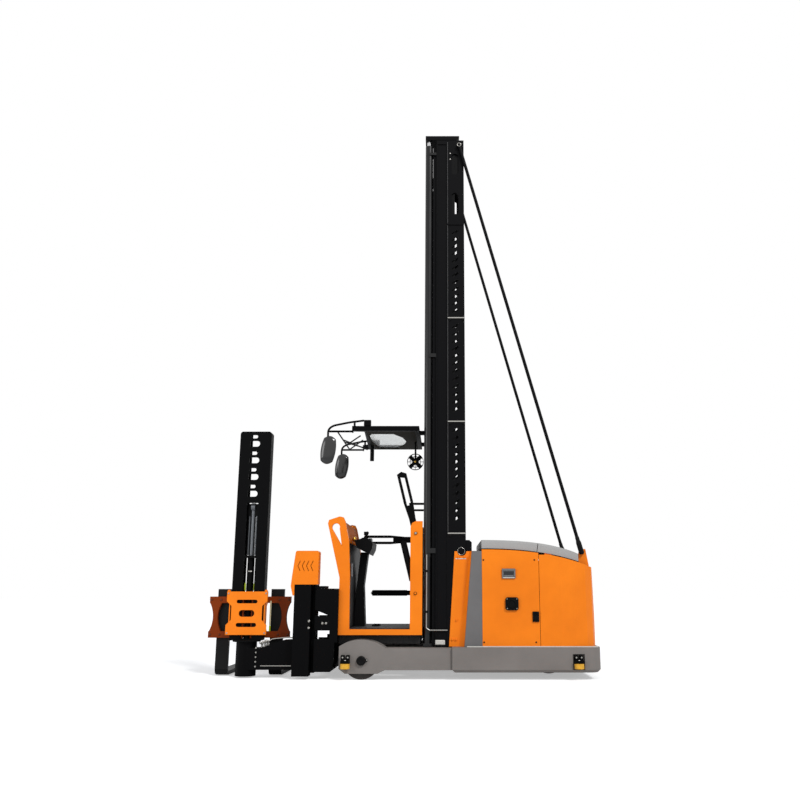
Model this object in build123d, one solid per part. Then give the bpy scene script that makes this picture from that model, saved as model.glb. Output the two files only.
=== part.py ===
from build123d import *
import os

# Three-way forklift for very narrow aisles, whose cab rises with the load.
# A slotted two-stage mast stands between a battery body and two load arms.
# An open cab climbs the mast and carries a sliding, swivelling fork head.
# Millimetres. +X points forwards to the fork head, +Y to the truck's left, +Z up.
# The origin is on the floor, under the middle of the whole truck.

# Driving sizes: chassis
REAR_X = -1980.0
SKIRT_FRONT_X = -515.0
SKIRT_Y = 750.0
SKIRT_Z0 = 70.0
SKIRT_Z1 = 306.0
SKIRT_WALL = 40.0
SKIRT_CORNER = 130.0
ARM_Y = 720.0
ARM_IN_Y = 530.0
ARM_Z0 = 91.0
ARM_Z1 = 297.0
CHEEK_T = 15.0
WHEEL_X = 375.0
WHEEL_R = 180.0
WHEEL_W = 110.0
AXLE_R = 32.0
DRIVE_X = -1535.0
DRIVE_R = 200.0
DRIVE_W = 150.0
ROLLER_R = 46.0
ROLLER_Z0 = 108.0
ROLLER_Z1 = 156.0

# Driving sizes: body
BODY_Y = 700.0
BODY_T = 10.0
BODY_FRONT_X = -815.0
BODY_SEAM_X = -1385.0
WEDGE_TOP = 1238.0
BODY_CROWN = 1253.0
HOOD_CROWN = 1349.0

# Driving sizes: mast
MAST_Y = 600.0
PLATE_T = 8.0
MAST_TOP = 5880.0
PLATE_X0 = -659.0
RAIL_X0 = -475.0
RAIL_X1 = -350.0
RAIL_W = 92.0
RAIL_T = 12.0
NEST = 10.0
RAM_X = -267.5
RAM_Y = 545.0
RAM_R = 43.0
HEAD_T = 50.0

# Driving sizes: cab
CAB_Y = 600.0
CAB_T = 40.0
CAB_REAR_X = -215.0
CAB_FRONT_X = 624.0
CAB_Z0 = 415.0
SILL_Z = 470.0
FLOOR_Z = 480.0
FRONT_POST = 103.0
WALL_X = CAB_FRONT_X - FRONT_POST
GATE_X = -145.0
GATE_GAP = 6.0
GATE_LEN = WALL_X - GATE_GAP - GATE_X
ROOF_Z0 = 2490.0
ROOF_Z1 = 2541.0

# Driving sizes: fork head
TRAVERSE_X1 = 856.0
COLUMN_X1 = 1062.0
COLUMN_TOP = 907.0
FORK_HALF = 418.0
SWING_ROOM = 86.0
HEAD_X = COLUMN_X1 + FORK_HALF + SWING_ROOM
HEAD_Y = 440.0
MINI_HALF = 166.0
MINI_TOP = 2500.0
FORK_OFF = 275.0
FORK_W = 130.0
FORK_T = 40.0
FORK_LEN = 1120.0

# Clearances
FIT = 0.05
RUN = 0.3
CLEAR = 6.0


def block(x0, x1, y0, y1, z0, z1):
    """A box between its low and high corner."""
    middle = Pos((x0 + x1) / 2, (y0 + y1) / 2, (z0 + z1) / 2)
    return middle * Box(x1 - x0, y1 - y0, z1 - z0)


def disc_x(y, z, radius, x0, x1):
    """A cylinder along X."""
    return Pos((x0 + x1) / 2, y, z) * Rot(0, 90, 0) * Cylinder(radius, x1 - x0)


def disc_y(x, z, radius, y0, y1):
    """A cylinder along Y."""
    return Pos(x, (y0 + y1) / 2, z) * Rot(90, 0, 0) * Cylinder(radius, y1 - y0)


def disc_z(x, y, radius, z0, z1):
    """A cylinder along Z."""
    return Pos(x, y, (z0 + z1) / 2) * Cylinder(radius, z1 - z0)


def side_plate(points, y0, y1):
    """A plate drawn as (x, z) points and standing between y0 and y1."""
    corners = [(x, y0, z) for x, z in points]
    face = make_face(Polyline(*corners, close=True))
    return extrude(face, amount=y1 - y0, dir=(0, 1, 0))


def front_plate(points, x0, x1):
    """A plate drawn as (y, z) points and standing between x0 and x1."""
    corners = [(x0, y, z) for y, z in points]
    face = make_face(Polyline(*corners, close=True))
    return extrude(face, amount=x1 - x0, dir=(1, 0, 0))


def flat_plate(points, z0, z1):
    """A plate drawn as (x, y) points and lying between z0 and z1."""
    corners = [(x, y, z0) for x, y in points]
    face = make_face(Polyline(*corners, close=True))
    return extrude(face, amount=z1 - z0, dir=(0, 0, 1))


def rod(start, end, radius):
    """A round bar between two points."""
    a = Vector(*start)
    b = Vector(*end)
    return Solid.make_cylinder(radius, (b - a).length, Plane(origin=a, z_dir=b - a))


def tube_run(points, radius):
    """A bent round bar: straight runs with a ball at each bend."""
    run = rod(points[0], points[1], radius)
    for a, b in zip(points[1:], points[2:]):
        run += Pos(*a) * Sphere(radius)
        run += rod(a, b, radius)
    return run


def mirrored(shape):
    """The same piece for the truck's other side."""
    return mirror(shape, about=Plane.XZ)


def both_sides(shape):
    """The left piece with its twin on the right."""
    return shape + mirrored(shape)


def body_top(x):
    """Height of the orange body's top edge, which falls on a curve to the rear."""
    t = max(BODY_FRONT_X - x, 0.0) / 1000
    return BODY_CROWN - 134.0 * t ** 2.4


def hood_top(x):
    """Height of the grey hood's crown, which falls faster and faster to the rear."""
    t = max(BODY_FRONT_X - x, 0.0) / 1000
    return HOOD_CROWN - 70.0 * t ** 2 - 75.0 * t ** 4


os.makedirs("parts", exist_ok=True)

# Rear chassis: a skirt with rounded rear corners, hollow below, and roller pockets
RING_R = 262.0
ROLLER_Y = ARM_Y + ROLLER_R + 3
POCKET = 12.0
ROLLER_X = {"front": 527.0, "rear": -1749.0}
skirt = block(REAR_X, SKIRT_FRONT_X, -SKIRT_Y, SKIRT_Y, SKIRT_Z0, SKIRT_Z1)
skirt = fillet(skirt.edges().filter_by(Axis.Z).sort_by(Axis.X)[:2], SKIRT_CORNER)
skirt = chamfer(skirt.faces().sort_by(Axis.Z)[0].edges(), 26)
skirt -= block(
    REAR_X + SKIRT_WALL, SKIRT_FRONT_X - SKIRT_WALL, -ARM_IN_Y, ARM_IN_Y, SKIRT_Z0 - 1, SKIRT_Z1 - 20)
skirt -= disc_z(DRIVE_X, 0, RING_R, SKIRT_Z1 - 30, SKIRT_Z1 + 5)
pocket = block(
    ROLLER_X["rear"] - ROLLER_R - POCKET, ROLLER_X["rear"] + ROLLER_R + POCKET,
    ARM_Y, SKIRT_Y + 5, ROLLER_Z0 - POCKET, ROLLER_Z1 + 88)
skirt -= both_sides(pocket)
export_step(skirt, "parts/chassis_skirt.step")

# Load arms, each with a lens-shaped wheel housing at its front end
HOUSING_X0 = 130.0
HOUSING_X1 = 595.0
HOUSING_Z1 = 378.0
HOUSING_Z0 = 58.0
cheek_top = ThreePointArc(
    (HOUSING_X0, ARM_Y, ARM_Z1 - 6), (WHEEL_X, ARM_Y, HOUSING_Z1), (HOUSING_X1, ARM_Y, 314))
cheek_rest = Polyline(
    (HOUSING_X1, ARM_Y, 314), (HOUSING_X1, ARM_Y, 104), (HOUSING_X1 - 62, ARM_Y, HOUSING_Z0),
    (HOUSING_X0 + 85, ARM_Y, HOUSING_Z0), (HOUSING_X0, ARM_Y, ARM_Z0 + 6), (HOUSING_X0, ARM_Y, ARM_Z1 - 6))
cheek = extrude(make_face([cheek_top, cheek_rest]), amount=CHEEK_T, dir=(0, -1, 0))
arm = block(SKIRT_FRONT_X, HOUSING_X0 + 30, ARM_IN_Y, ARM_Y, ARM_Z0, ARM_Z1)
arm += cheek + Pos(0, ARM_IN_Y + CHEEK_T - ARM_Y, 0) * cheek
arm -= disc_y(WHEEL_X, WHEEL_R, AXLE_R, ARM_IN_Y - 5, ARM_Y + 5)
export_step(arm, "parts/arm_left.step")
export_step(mirrored(arm), "parts/arm_right.step")

# Axles with their caps, fixed in the arms
axle = disc_y(WHEEL_X, WHEEL_R, AXLE_R, ARM_IN_Y, ARM_Y) + disc_y(WHEEL_X, WHEEL_R, 45, ARM_Y, ARM_Y + 22)
export_step(both_sides(axle), "parts/load_axles.step")

# Load wheels: cast hub with a recessed web, and a cast tyre
TYRE_T = 38.0
WHEEL_Y = (ARM_IN_Y + ARM_Y) / 2
wheel_y0 = WHEEL_Y - WHEEL_W / 2
wheel_y1 = WHEEL_Y + WHEEL_W / 2
hub = disc_y(WHEEL_X, WHEEL_R, WHEEL_R - TYRE_T, wheel_y0, wheel_y1)
hub += disc_y(WHEEL_X, WHEEL_R, 62, ARM_IN_Y + CHEEK_T + RUN, ARM_Y - CHEEK_T - RUN)
hub -= disc_y(WHEEL_X, WHEEL_R, AXLE_R + FIT, ARM_IN_Y, ARM_Y)
tyre = disc_y(WHEEL_X, WHEEL_R, WHEEL_R, wheel_y0, wheel_y1)
tyre -= disc_y(WHEEL_X, WHEEL_R, WHEEL_R - TYRE_T, wheel_y0 - 1, wheel_y1 + 1)
export_step(hub, "parts/load_hub_left.step")
export_step(tyre, "parts/load_tyre_left.step")
export_step(mirrored(hub), "parts/load_hub_right.step")
export_step(mirrored(tyre), "parts/load_tyre_right.step")

# Guide rollers that run along the aisle's rails, on pins under black holders
PIN_R = 14.0
holders = []
for end, x in ROLLER_X.items():
    holder = block(x - 44, x + 44, ARM_Y, ROLLER_Y + 24, ROLLER_Z1 + RUN, ROLLER_Z1 + 28)
    for side in (-1, 1):
        lobe_x = x + side * 25
        holder += block(lobe_x - 17, lobe_x + 17, ARM_Y, ROLLER_Y - 8, ROLLER_Z1 + 20, ROLLER_Z1 + 78)
    holder += disc_z(x, ROLLER_Y, PIN_R, ROLLER_Z0 - 6, ROLLER_Z1 + 20)
    roller = disc_z(x, ROLLER_Y, ROLLER_R, ROLLER_Z0, ROLLER_Z1)
    roller -= disc_z(x, ROLLER_Y, PIN_R + FIT, ROLLER_Z0 - 1, ROLLER_Z1 + 1)
    holders += [holder, mirrored(holder)]
    export_step(roller, f"parts/guide_roller_{end}_left.step")
    export_step(mirrored(roller), f"parts/guide_roller_{end}_right.step")
export_step(Compound(children=holders), "parts/roller_holders.step")

# Steered drive unit: it turns on a ring and its motor stands above the wheel
RING_Z1 = 2 * DRIVE_R + 5
MOTOR_R = 125.0
DRIVE_AXLE_R = 30.0
DRIVE_TYRE_T = 45.0
ring = disc_z(DRIVE_X, 0, RING_R + 38, SKIRT_Z1, RING_Z1)
ring -= disc_z(DRIVE_X, 0, RING_R, SKIRT_Z1 - 1, RING_Z1 + 1)
export_step(ring, "parts/drive_ring.step")
unit = disc_z(DRIVE_X, 0, RING_R + 20, RING_Z1 + RUN, RING_Z1 + 45)
unit += disc_z(DRIVE_X, 0, MOTOR_R, RING_Z1 + 45, RING_Z1 + 440)
leg_y = DRIVE_W / 2 + 8
unit += block(DRIVE_X - 110, DRIVE_X + 110, leg_y, leg_y + 62, 110, RING_Z1 + 10)
unit += block(DRIVE_X - 80, DRIVE_X + 80, -leg_y - 26, -leg_y, 130, RING_Z1 + 10)
unit += disc_y(DRIVE_X, DRIVE_R, DRIVE_AXLE_R, -leg_y, leg_y)
export_step(unit, "parts/drive_unit.step")
drive_hub = disc_y(DRIVE_X, DRIVE_R, DRIVE_R - DRIVE_TYRE_T, -DRIVE_W / 2, DRIVE_W / 2)
drive_hub -= disc_y(DRIVE_X, DRIVE_R, DRIVE_AXLE_R + FIT, -DRIVE_W, DRIVE_W)
drive_tyre = disc_y(DRIVE_X, DRIVE_R, DRIVE_R, -DRIVE_W / 2, DRIVE_W / 2)
drive_tyre -= disc_y(DRIVE_X, DRIVE_R, DRIVE_R - DRIVE_TYRE_T, -DRIVE_W, DRIVE_W)
export_step(drive_hub, "parts/drive_hub.step")
export_step(drive_tyre, "parts/drive_tyre.step")

# Battery between the mast and the drive compartment
battery = block(DRIVE_X + RING_R + 60, BODY_FRONT_X - 40, -480, 480, SKIRT_Z1, 1080)
export_step(battery, "parts/battery.step")

# Orange side panels with the falling top edge
door_x = [BODY_FRONT_X + (BODY_SEAM_X - BODY_FRONT_X) * i / 6 for i in range(7)]
door_outline = [(BODY_SEAM_X, SKIRT_Z1), (BODY_FRONT_X, SKIRT_Z1)] + [(x, body_top(x)) for x in door_x]
door = side_plate(door_outline, BODY_Y - BODY_T, BODY_Y)
export_step(door, "parts/door_left.step")
export_step(mirrored(door), "parts/door_right.step")

# Orange rear shell: one skin bent round both rear corners, leaning in at the rear
shell_left = BODY_SEAM_X - 4
SHELL_X = REAR_X + 11
SHELL_LEAN = 32.0


def shell_block(inset, z0, z1):
    """The rear shell's outer form, or its inside when inset by the skin."""
    plan = [
        (shell_left + inset, BODY_Y - inset), (-1600, BODY_Y - inset), (SHELL_X + 224, BODY_Y - 12 - inset),
        (SHELL_X + 112 + inset / 2, BODY_Y - 45 - inset), (SHELL_X + 44 + inset, BODY_Y - 105 - inset),
        (SHELL_X + 12 + inset, BODY_Y - 190), (SHELL_X + inset, BODY_Y - 300)]
    plan += [(x, -y) for x, y in reversed(plan)]
    form = flat_plate(plan, z0, z1)
    lean_x = SHELL_X + SHELL_LEAN + inset
    behind = REAR_X - 99
    lean = [(SHELL_X + inset, z0), (lean_x, 1120), (lean_x, z1 + 5), (behind, z1 + 5), (behind, z0)]
    return form - side_plate(lean, -BODY_Y - 5, BODY_Y + 5)


shell = shell_block(0, SKIRT_Z1, 1200) - shell_block(BODY_T, SKIRT_Z1 - 1, 1201)
shell -= block(shell_left, shell_left + 40, -BODY_Y, BODY_Y, SKIRT_Z1 - 5, 1300)
shell_x = [shell_left + 30 - i * 78 for i in range(8)]
over_shell = [(x, body_top(x)) for x in shell_x]
over_shell += [(SHELL_X + 34, 1080), (SHELL_X + 24, 1068), (SHELL_X + 18, 1045), (SHELL_X - 99, 1045)]
over_shell += [(SHELL_X - 99, 1400), (shell_left + 30, 1400)]
shell -= side_plate(over_shell, -BODY_Y - 5, BODY_Y + 5)
TAB_X = (-1450.0, -1520.0)
HOOD_Y = BODY_Y - 26
HOOD_GAP = 10.0
for inner, outer, drop in ((BODY_Y - 60, HOOD_Y - 6, -HOOD_GAP), (BODY_Y - 60, BODY_Y - BODY_T, 10.0)):
    tab = [(x, body_top(x) - drop) for x in TAB_X] + [(x, body_top(x) - 30) for x in reversed(TAB_X)]
    shell += both_sides(side_plate(tab, inner, outer))
export_step(shell, "parts/rear_shell.step")

# Grey front wall, whose side corners lean and grow wider to the foot
WEDGE_LOW_X = -637.0
WEDGE_HIGH_X = -715.0
WEDGE_SKIN = 8.0
WALL_PANEL_X = -733.0
WALL_PANEL_T = 12.0
wedge_skin = [
    (WEDGE_LOW_X, SKIRT_Z1), (WEDGE_HIGH_X, WEDGE_TOP), (WEDGE_HIGH_X - WEDGE_SKIN, WEDGE_TOP),
    (WEDGE_LOW_X - WEDGE_SKIN, SKIRT_Z1)]
wedge_side = [
    (BODY_FRONT_X + 0.5, SKIRT_Z1), (WEDGE_LOW_X - 3, SKIRT_Z1), (WEDGE_HIGH_X - 3, WEDGE_TOP),
    (BODY_FRONT_X + 0.5, WEDGE_TOP)]
wall = side_plate(wedge_skin, MAST_Y + 56, BODY_Y - 2) + side_plate(wedge_side, BODY_Y - BODY_T, BODY_Y - 2)
wall = both_sides(wall) + block(
    WALL_PANEL_X - WALL_PANEL_T, WALL_PANEL_X, -BODY_Y + BODY_T, BODY_Y - BODY_T, SKIRT_Z1, WEDGE_TOP - 8)
HINGE_X = -850.0
HINGE_Z = HOOD_CROWN - 38
HINGE_Y = (-350.0, 350.0)
HINGE_PIN_R = 8.0
for y in HINGE_Y:
    wall += block(HINGE_X - 15, WALL_PANEL_X, y - 6, y + 6, WEDGE_TOP - 70, WEDGE_TOP - 8)
    wall += block(HINGE_X - 15, HINGE_X + 15, y - 6, y + 6, WEDGE_TOP - 70, HINGE_Z + 14)
    wall += disc_y(HINGE_X, HINGE_Z, HINGE_PIN_R, y, y + 30)
export_step(wall, "parts/front_wall.step")

# Hood: a battery lid on two hinges, and a fixed rear part
HOOD_T = 12.0
HOOD_SOFT = 20.0


def crown_edges(shape, y):
    """The long edges that run along the crown on both sides."""
    edges = [e for e in shape.edges() if abs(abs(e.center().Y) - y) < 0.01]
    return [e for e in edges if e.center().Z > hood_top(e.center().X) - 3 and abs(e.tangent_at(0).X) > 0.5]


SEAM_LEAN = 14.0
POST_X0 = -1796.0
lid_x = [BODY_FRONT_X + (BODY_SEAM_X - BODY_FRONT_X) * i / 6 for i in range(7)]
lid_low = [(x, body_top(x) + HOOD_GAP) for x in lid_x[:-1]]
lid_low.append((BODY_SEAM_X + SEAM_LEAN, body_top(BODY_SEAM_X) + HOOD_GAP))
lid = side_plate([(x, hood_top(x)) for x in lid_x] + lid_low[::-1], -HOOD_Y, HOOD_Y)
lid = chamfer(crown_edges(lid, HOOD_Y), HOOD_SOFT)
under_x = [lid_x[0] - HOOD_T] + lid_x[1:-1] + [lid_x[-1] + HOOD_T]
under = [(x, hood_top(x) - HOOD_T) for x in under_x] + [(under_x[-1], 1100), (under_x[0], 1100)]
lid -= side_plate(under, -HOOD_Y + HOOD_T, HOOD_Y - HOOD_T)
for y in HINGE_Y:
    ear = block(HINGE_X - 14, HINGE_X + 14, y + 8, y + 22, HINGE_Z - 14, hood_top(HINGE_X) - HOOD_T + 4)
    lid += ear - disc_y(HINGE_X, HINGE_Z, HINGE_PIN_R + FIT, y, y + 30)
    lid -= block(BODY_FRONT_X - HOOD_T - 1, BODY_FRONT_X + 1, y - 14, y + 14, 1250, HINGE_Z + 24)
export_step(lid, "parts/hood_lid.step")

HOOD_END_X = -1790.0
SLOPE_END = (-1892.0, 1098.0)
rear_x = [BODY_SEAM_X - 6] + list(TAB_X) + [-1600.0, -1680.0, -1740.0, HOOD_END_X]
rear_low = [(x, body_top(x) + HOOD_GAP) for x in rear_x]
rear_low[0] = (rear_x[0] + SEAM_LEAN, body_top(rear_x[0]) + HOOD_GAP)
rear_low.append((SLOPE_END[0], body_top(SLOPE_END[0]) + 1))
rear_hood = side_plate([(x, hood_top(x)) for x in rear_x] + [SLOPE_END] + rear_low[::-1], -HOOD_Y, HOOD_Y)
corner = [
    (-1600, BODY_Y), (-1600, HOOD_Y), (-1740, HOOD_Y - 20), (POST_X0, HOOD_Y - 36), (POST_X0, HOOD_Y - 110),
    (-1900, HOOD_Y - 110), (-2060, HOOD_Y - 110), (-2060, BODY_Y)]
rear_hood = chamfer(crown_edges(rear_hood, HOOD_Y), HOOD_SOFT)
rear_hood -= both_sides(flat_plate(corner, 900, 1500))
under_x = [rear_x[0] - HOOD_T] + rear_x[1:-1]
under = [(x, hood_top(x) - HOOD_T) for x in under_x] + [(under_x[-1], 1050), (under_x[0], 1050)]
rear_hood -= side_plate(under, -HOOD_Y + 130, HOOD_Y - 130)
export_step(rear_hood, "parts/hood_rear.step")

# Orange folded brackets that hold the mast's foot, notched round a pin
BRACKET_T = 12.0
BRACKET_Z1 = WEDGE_TOP
NOTCH_X = -616.0
face_outline = [(-485, SKIRT_Z1), (-582, SKIRT_Z1), (-697, BRACKET_Z1), (-542, BRACKET_Z1)]
bracket = side_plate(face_outline, MAST_Y, MAST_Y + BRACKET_T)
outer_y = MAST_Y + BRACKET_T
fold_low = WEDGE_LOW_X + RUN
fold_high = WEDGE_HIGH_X + RUN
low_edge = [(-580, outer_y), (fold_low, outer_y + 48), (fold_low, outer_y + 38), (-580, MAST_Y)]
high_edge = [(-695, outer_y), (fold_high, outer_y + 48), (fold_high, outer_y + 38), (-695, MAST_Y)]
low_face = make_face(Polyline(*[(x, y, SKIRT_Z1) for x, y in low_edge], close=True))
high_face = make_face(Polyline(*[(x, y, BRACKET_Z1) for x, y in high_edge], close=True))
bracket += loft([low_face, high_face], ruled=True)
bracket -= disc_y(NOTCH_X, BRACKET_Z1, 46, MAST_Y - 5, MAST_Y + 30)
export_step(both_sides(bracket), "parts/mast_brackets.step")

# Outer mast: two channel rails, back strips, ties, and the lug that takes the pin
RAIL_Y1 = MAST_Y - PLATE_T
RAIL_Y0 = RAIL_Y1 - RAIL_W
RAIL_FOOT = ARM_Z1 + 15
RAM_FOOT = 1180.0
CLAMP_Z = ((RAM_FOOT + 40, RAM_FOOT + 90), (3300.0, 3340.0), (MAST_TOP - 180, MAST_TOP - 150))
rail = block(RAIL_X0, RAIL_X1, RAIL_Y0, RAIL_Y1, RAIL_FOOT, MAST_TOP)
rail -= block(RAIL_X0 + RAIL_T, RAIL_X1 - RAIL_T, RAIL_Y0 - 1, RAIL_Y1 - RAIL_T, RAIL_FOOT - 1, MAST_TOP + 1)
for lip_x in (RAIL_X0, RAIL_X1 - RAIL_T):
    rail += block(lip_x, lip_x + RAIL_T, RAIL_Y1, MAST_Y, RAIL_FOOT, MAST_TOP)
rail += block(RAIL_X0, RAIL_X1, RAIL_Y1, MAST_Y, MAST_TOP - 50, MAST_TOP)
rail += block(PLATE_X0, PLATE_X0 + 10, RAIL_Y0, RAIL_Y1, RAIL_FOOT, MAST_TOP)
guide_z = [RAIL_FOOT] + [z for pair in CLAMP_Z for z in pair] + [MAST_TOP - 80]
for z0, z1 in zip(guide_z[::2], guide_z[1::2]):
    rail += block(RAIL_X1, RAM_X - RAM_R - 2, RAM_Y - 5, RAM_Y + 30, z0, z1)
lug_outline = [(-719, 1190), (-719, 1330), (-695, 1352), (-600, 1352), (-600, 1190)]
lug = side_plate(lug_outline, RAIL_Y0 + 10, RAIL_Y1)
rail += lug + disc_y(NOTCH_X, BRACKET_Z1, 42, RAIL_Y1 - 20, RAIL_Y1)
outer_mast = both_sides(rail)
FLANGES = (1420.0, 2590.0, 3740.0, 4840.0)
for tie_z in (430.0,) + FLANGES + (MAST_TOP - 100,):
    outer_mast += block(PLATE_X0, PLATE_X0 + 60, -RAIL_Y1, RAIL_Y1, tie_z - 50, tie_z + 50)
    outer_mast += both_sides(block(PLATE_X0, RAIL_X0 + 2, RAIL_Y0, RAIL_Y1, tie_z - 6, tie_z + 6))
outer_mast += block(RAIL_X0, RAIL_X1, -RAIL_Y1, RAIL_Y1, ARM_Z1, RAIL_FOOT)
export_step(outer_mast, "parts/outer_mast.step")

# Slotted side plates: two tall openings, then three bays of slanted slots in one column
SLOT_PITCH = 84.0
SLOT_X = -560.0
SLOTS_PER_BAY = 12
STAY_PIN_R = 12.0
STAY_TOP = (-607.0, MAST_Y + 20, MAST_TOP - 75)
plate = block(PLATE_X0, RAIL_X0, RAIL_Y1, MAST_Y, RAIL_FOOT, MAST_TOP)
for slot_z in (MAST_TOP - 300, MAST_TOP - 785):
    plate -= block(SLOT_X - 40, SLOT_X + 40, RAIL_Y1 - 5, MAST_Y + 5, slot_z - 90, slot_z + 90)
    for end_z in (slot_z - 90, slot_z + 90):
        plate -= disc_y(SLOT_X, end_z, 40, RAIL_Y1 - 5, MAST_Y + 5)
slot = Rot(0, 40, 0) * Box(85, PLATE_T * 3, 26)
slots = []
for flange_z in FLANGES[1:]:
    for i in range(SLOTS_PER_BAY):
        slots.append(Pos(SLOT_X, MAST_Y, flange_z - 95 - i * SLOT_PITCH) * slot)
plate -= Compound(children=slots)
plate -= disc_y(STAY_TOP[0], STAY_TOP[2], STAY_PIN_R + FIT, RAIL_Y1 - 5, MAST_Y + 5)
for flange_z in FLANGES:
    plate += block(PLATE_X0, RAIL_X0 + 4, MAST_Y, MAST_Y + 8, flange_z - 8, flange_z + 8)
export_step(both_sides(plate), "parts/mast_side_plates.step")

# Stays from the mast's head down to posts on the rear deck
STAY_R = 17.5
EAR_Y1 = 586.0
STAY_FOOT = (-1835.0, EAR_Y1 + 20, 1232.0)
stay = rod(STAY_TOP, STAY_FOOT, STAY_R)
for x, y, z in (STAY_TOP, STAY_FOOT):
    eye = [(x - 28, z), (x - 16, z + 26), (x + 16, z + 26), (x + 28, z), (x + 16, z - 26), (x - 16, z - 26)]
    stay += side_plate(eye, y - 12, y + 12)
stay += disc_y(STAY_TOP[0], STAY_TOP[2], STAY_PIN_R, RAIL_Y1 + 0.5, STAY_TOP[1] + 24)
stay += disc_y(STAY_FOOT[0], STAY_FOOT[2], STAY_PIN_R, EAR_Y1 - 16, STAY_FOOT[1] + 18)
export_step(both_sides(stay), "parts/mast_stays.step")
ear = side_plate(
    [(POST_X0 - 4, SKIRT_Z1), (-1806, 1215), (-1822, 1262), (-1880, 1262), (-1908, 1100), (-1908, SKIRT_Z1)],
    EAR_Y1 - 14, EAR_Y1)
ear -= disc_y(STAY_FOOT[0], STAY_FOOT[2], STAY_PIN_R + FIT, EAR_Y1 - 20, EAR_Y1 + 5)
export_step(both_sides(ear), "parts/stay_posts.step")

# Lift cylinders: fixed tubes with a bore for the moving rods
RAM_BORE = 30.0
CLAMP_LIP = 6.0
tube = disc_z(RAM_X, RAM_Y, RAM_R, RAM_FOOT, MAST_TOP - 60)
for z0, z1 in CLAMP_Z:
    tube += block(RAIL_X1, RAM_X + 4, RAM_Y - RAM_R - CLAMP_LIP, RAM_Y + RAM_R + CLAMP_LIP, z0, z1)
tube -= disc_z(RAM_X, RAM_Y, RAM_BORE, RAM_FOOT + 20, MAST_TOP)
tube += disc_z(RAM_X, RAM_Y, RAM_R - 6, ARM_Z1 + 35, RAM_FOOT)
tube += block(RAM_X - RAM_R, RAM_X + RAM_R, RAM_Y - RAM_R, RAM_Y + RAM_R, ARM_Z1, ARM_Z1 + 35)
export_step(both_sides(tube), "parts/lift_tubes.step")

# Steel pipe from the left cylinder down and back to the mast's foot
PIPE_X = -260.0
PIPE_Y = MAST_Y + 12
pipe = tube_run([(PIPE_X, PIPE_Y, RAM_FOOT + 25), (PIPE_X, PIPE_Y, 485), (PIPE_X - 30, PIPE_Y, 462),
                 (-470, PIPE_Y, 462)], 7)
pipe += rod((PIPE_X, RAM_Y + RAM_R + RUN, RAM_FOOT + 18), (PIPE_X, PIPE_Y, RAM_FOOT + 18), 7)
export_step(pipe, "parts/steel_pipe.step")

# Inner mast: two nested channels with rollers, ties behind, and head plates
INNER_X0 = RAIL_X0 + 5
INNER_X1 = RAIL_X1 - 5
INNER_Y1 = RAIL_Y0 - NEST
INNER_Y0 = INNER_Y1 - 90
MID_X = (INNER_X0 + INNER_X1) / 2
OUTER_ROLLER_R = (RAIL_X1 - RAIL_X0) / 2 - RAIL_T - RUN
INNER_ROLLER_R = (INNER_X1 - INNER_X0) / 2 - RAIL_T - RUN
inner = block(INNER_X0, INNER_X1, INNER_Y0, INNER_Y1, 345, MAST_TOP + 10)
inner -= block(INNER_X0 + RAIL_T, INNER_X1 - RAIL_T, INNER_Y0 - 1, INNER_Y1 - RAIL_T, 340, MAST_TOP + 11)
for z in (430, 1100):
    inner += disc_y(MID_X, z, OUTER_ROLLER_R, INNER_Y1, RAIL_Y1 - RAIL_T - 8)
head = block(-609, RAM_X + RAM_R, INNER_Y0, RAIL_Y1, MAST_TOP + 10, MAST_TOP + 10 + HEAD_T)
head = chamfer(head.edges().filter_by(Axis.Y).sort_by(Axis.X)[:2].sort_by(Axis.Z)[0], 32)
inner_mast = both_sides(inner + head)
for tie_z in (450, 2200, 4000, MAST_TOP - 30):
    inner_mast += block(INNER_X0 - 40, INNER_X0, -INNER_Y1, INNER_Y1, tie_z - 45, tie_z + 45)
export_step(inner_mast, "parts/inner_mast.step")
ram = disc_z(RAM_X, RAM_Y, RAM_BORE - CLEAR, RAM_FOOT + 30, MAST_TOP + 10)
ram += disc_z(RAM_X, RAM_Y, RAM_BORE - RUN, RAM_FOOT + 30, RAM_FOOT + 80)
export_step(both_sides(ram), "parts/lift_rods.step")

# Cab carriage: plates and rollers in the inner mast, uprights up to the roof
CARRIAGE_Y = INNER_Y0 - 8
POST_X1 = RAM_X - RAM_R + 32
side = block(INNER_X0 + 15, POST_X1, CARRIAGE_Y - 14, CARRIAGE_Y, 420, 1620)
side += block(POST_X1 - 60, POST_X1, CARRIAGE_Y - 60, CARRIAGE_Y, 420, ROOF_Z0)
for z in (520, 1480):
    side += disc_y(MID_X, z, INNER_ROLLER_R, CARRIAGE_Y, INNER_Y1 - RAIL_T - 8)
carriage = both_sides(side)
for z0, z1 in ((430, 520), (1400, 1480), (1560, 1620), (2380, 2430)):
    carriage += block(POST_X1 - 50, POST_X1, -CARRIAGE_Y, CARRIAGE_Y, z0, z1)
for z0, z1 in ((335, 488), (1000, 1060), (1440, 1500)):
    carriage += block(POST_X1, CAB_REAR_X, -330, 330, z0, z1)
grab = tube_run([(POST_X1, 361, 1745), (-75, 361, 1745), (-75, -361, 1745), (POST_X1, -361, 1745)], 12)
carriage += grab
export_step(carriage, "parts/cab_carriage.step")

# Cab floor on its underframe, with a back panel behind the operator
WALL_Y = CAB_Y - CAB_T
floor = block(CAB_REAR_X, CAB_FRONT_X, -WALL_Y, WALL_Y, CAB_Z0 + 13, FLOOR_Z)
floor += block(CAB_REAR_X + 20, CAB_FRONT_X, -ARM_IN_Y + 25, ARM_IN_Y - 25, ARM_Z1 + 30, CAB_Z0 + 13)
floor += block(CAB_REAR_X, CAB_REAR_X + 30, -330, 330, FLOOR_Z, 1500)
export_step(floor, "parts/cab_floor.step")

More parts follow.
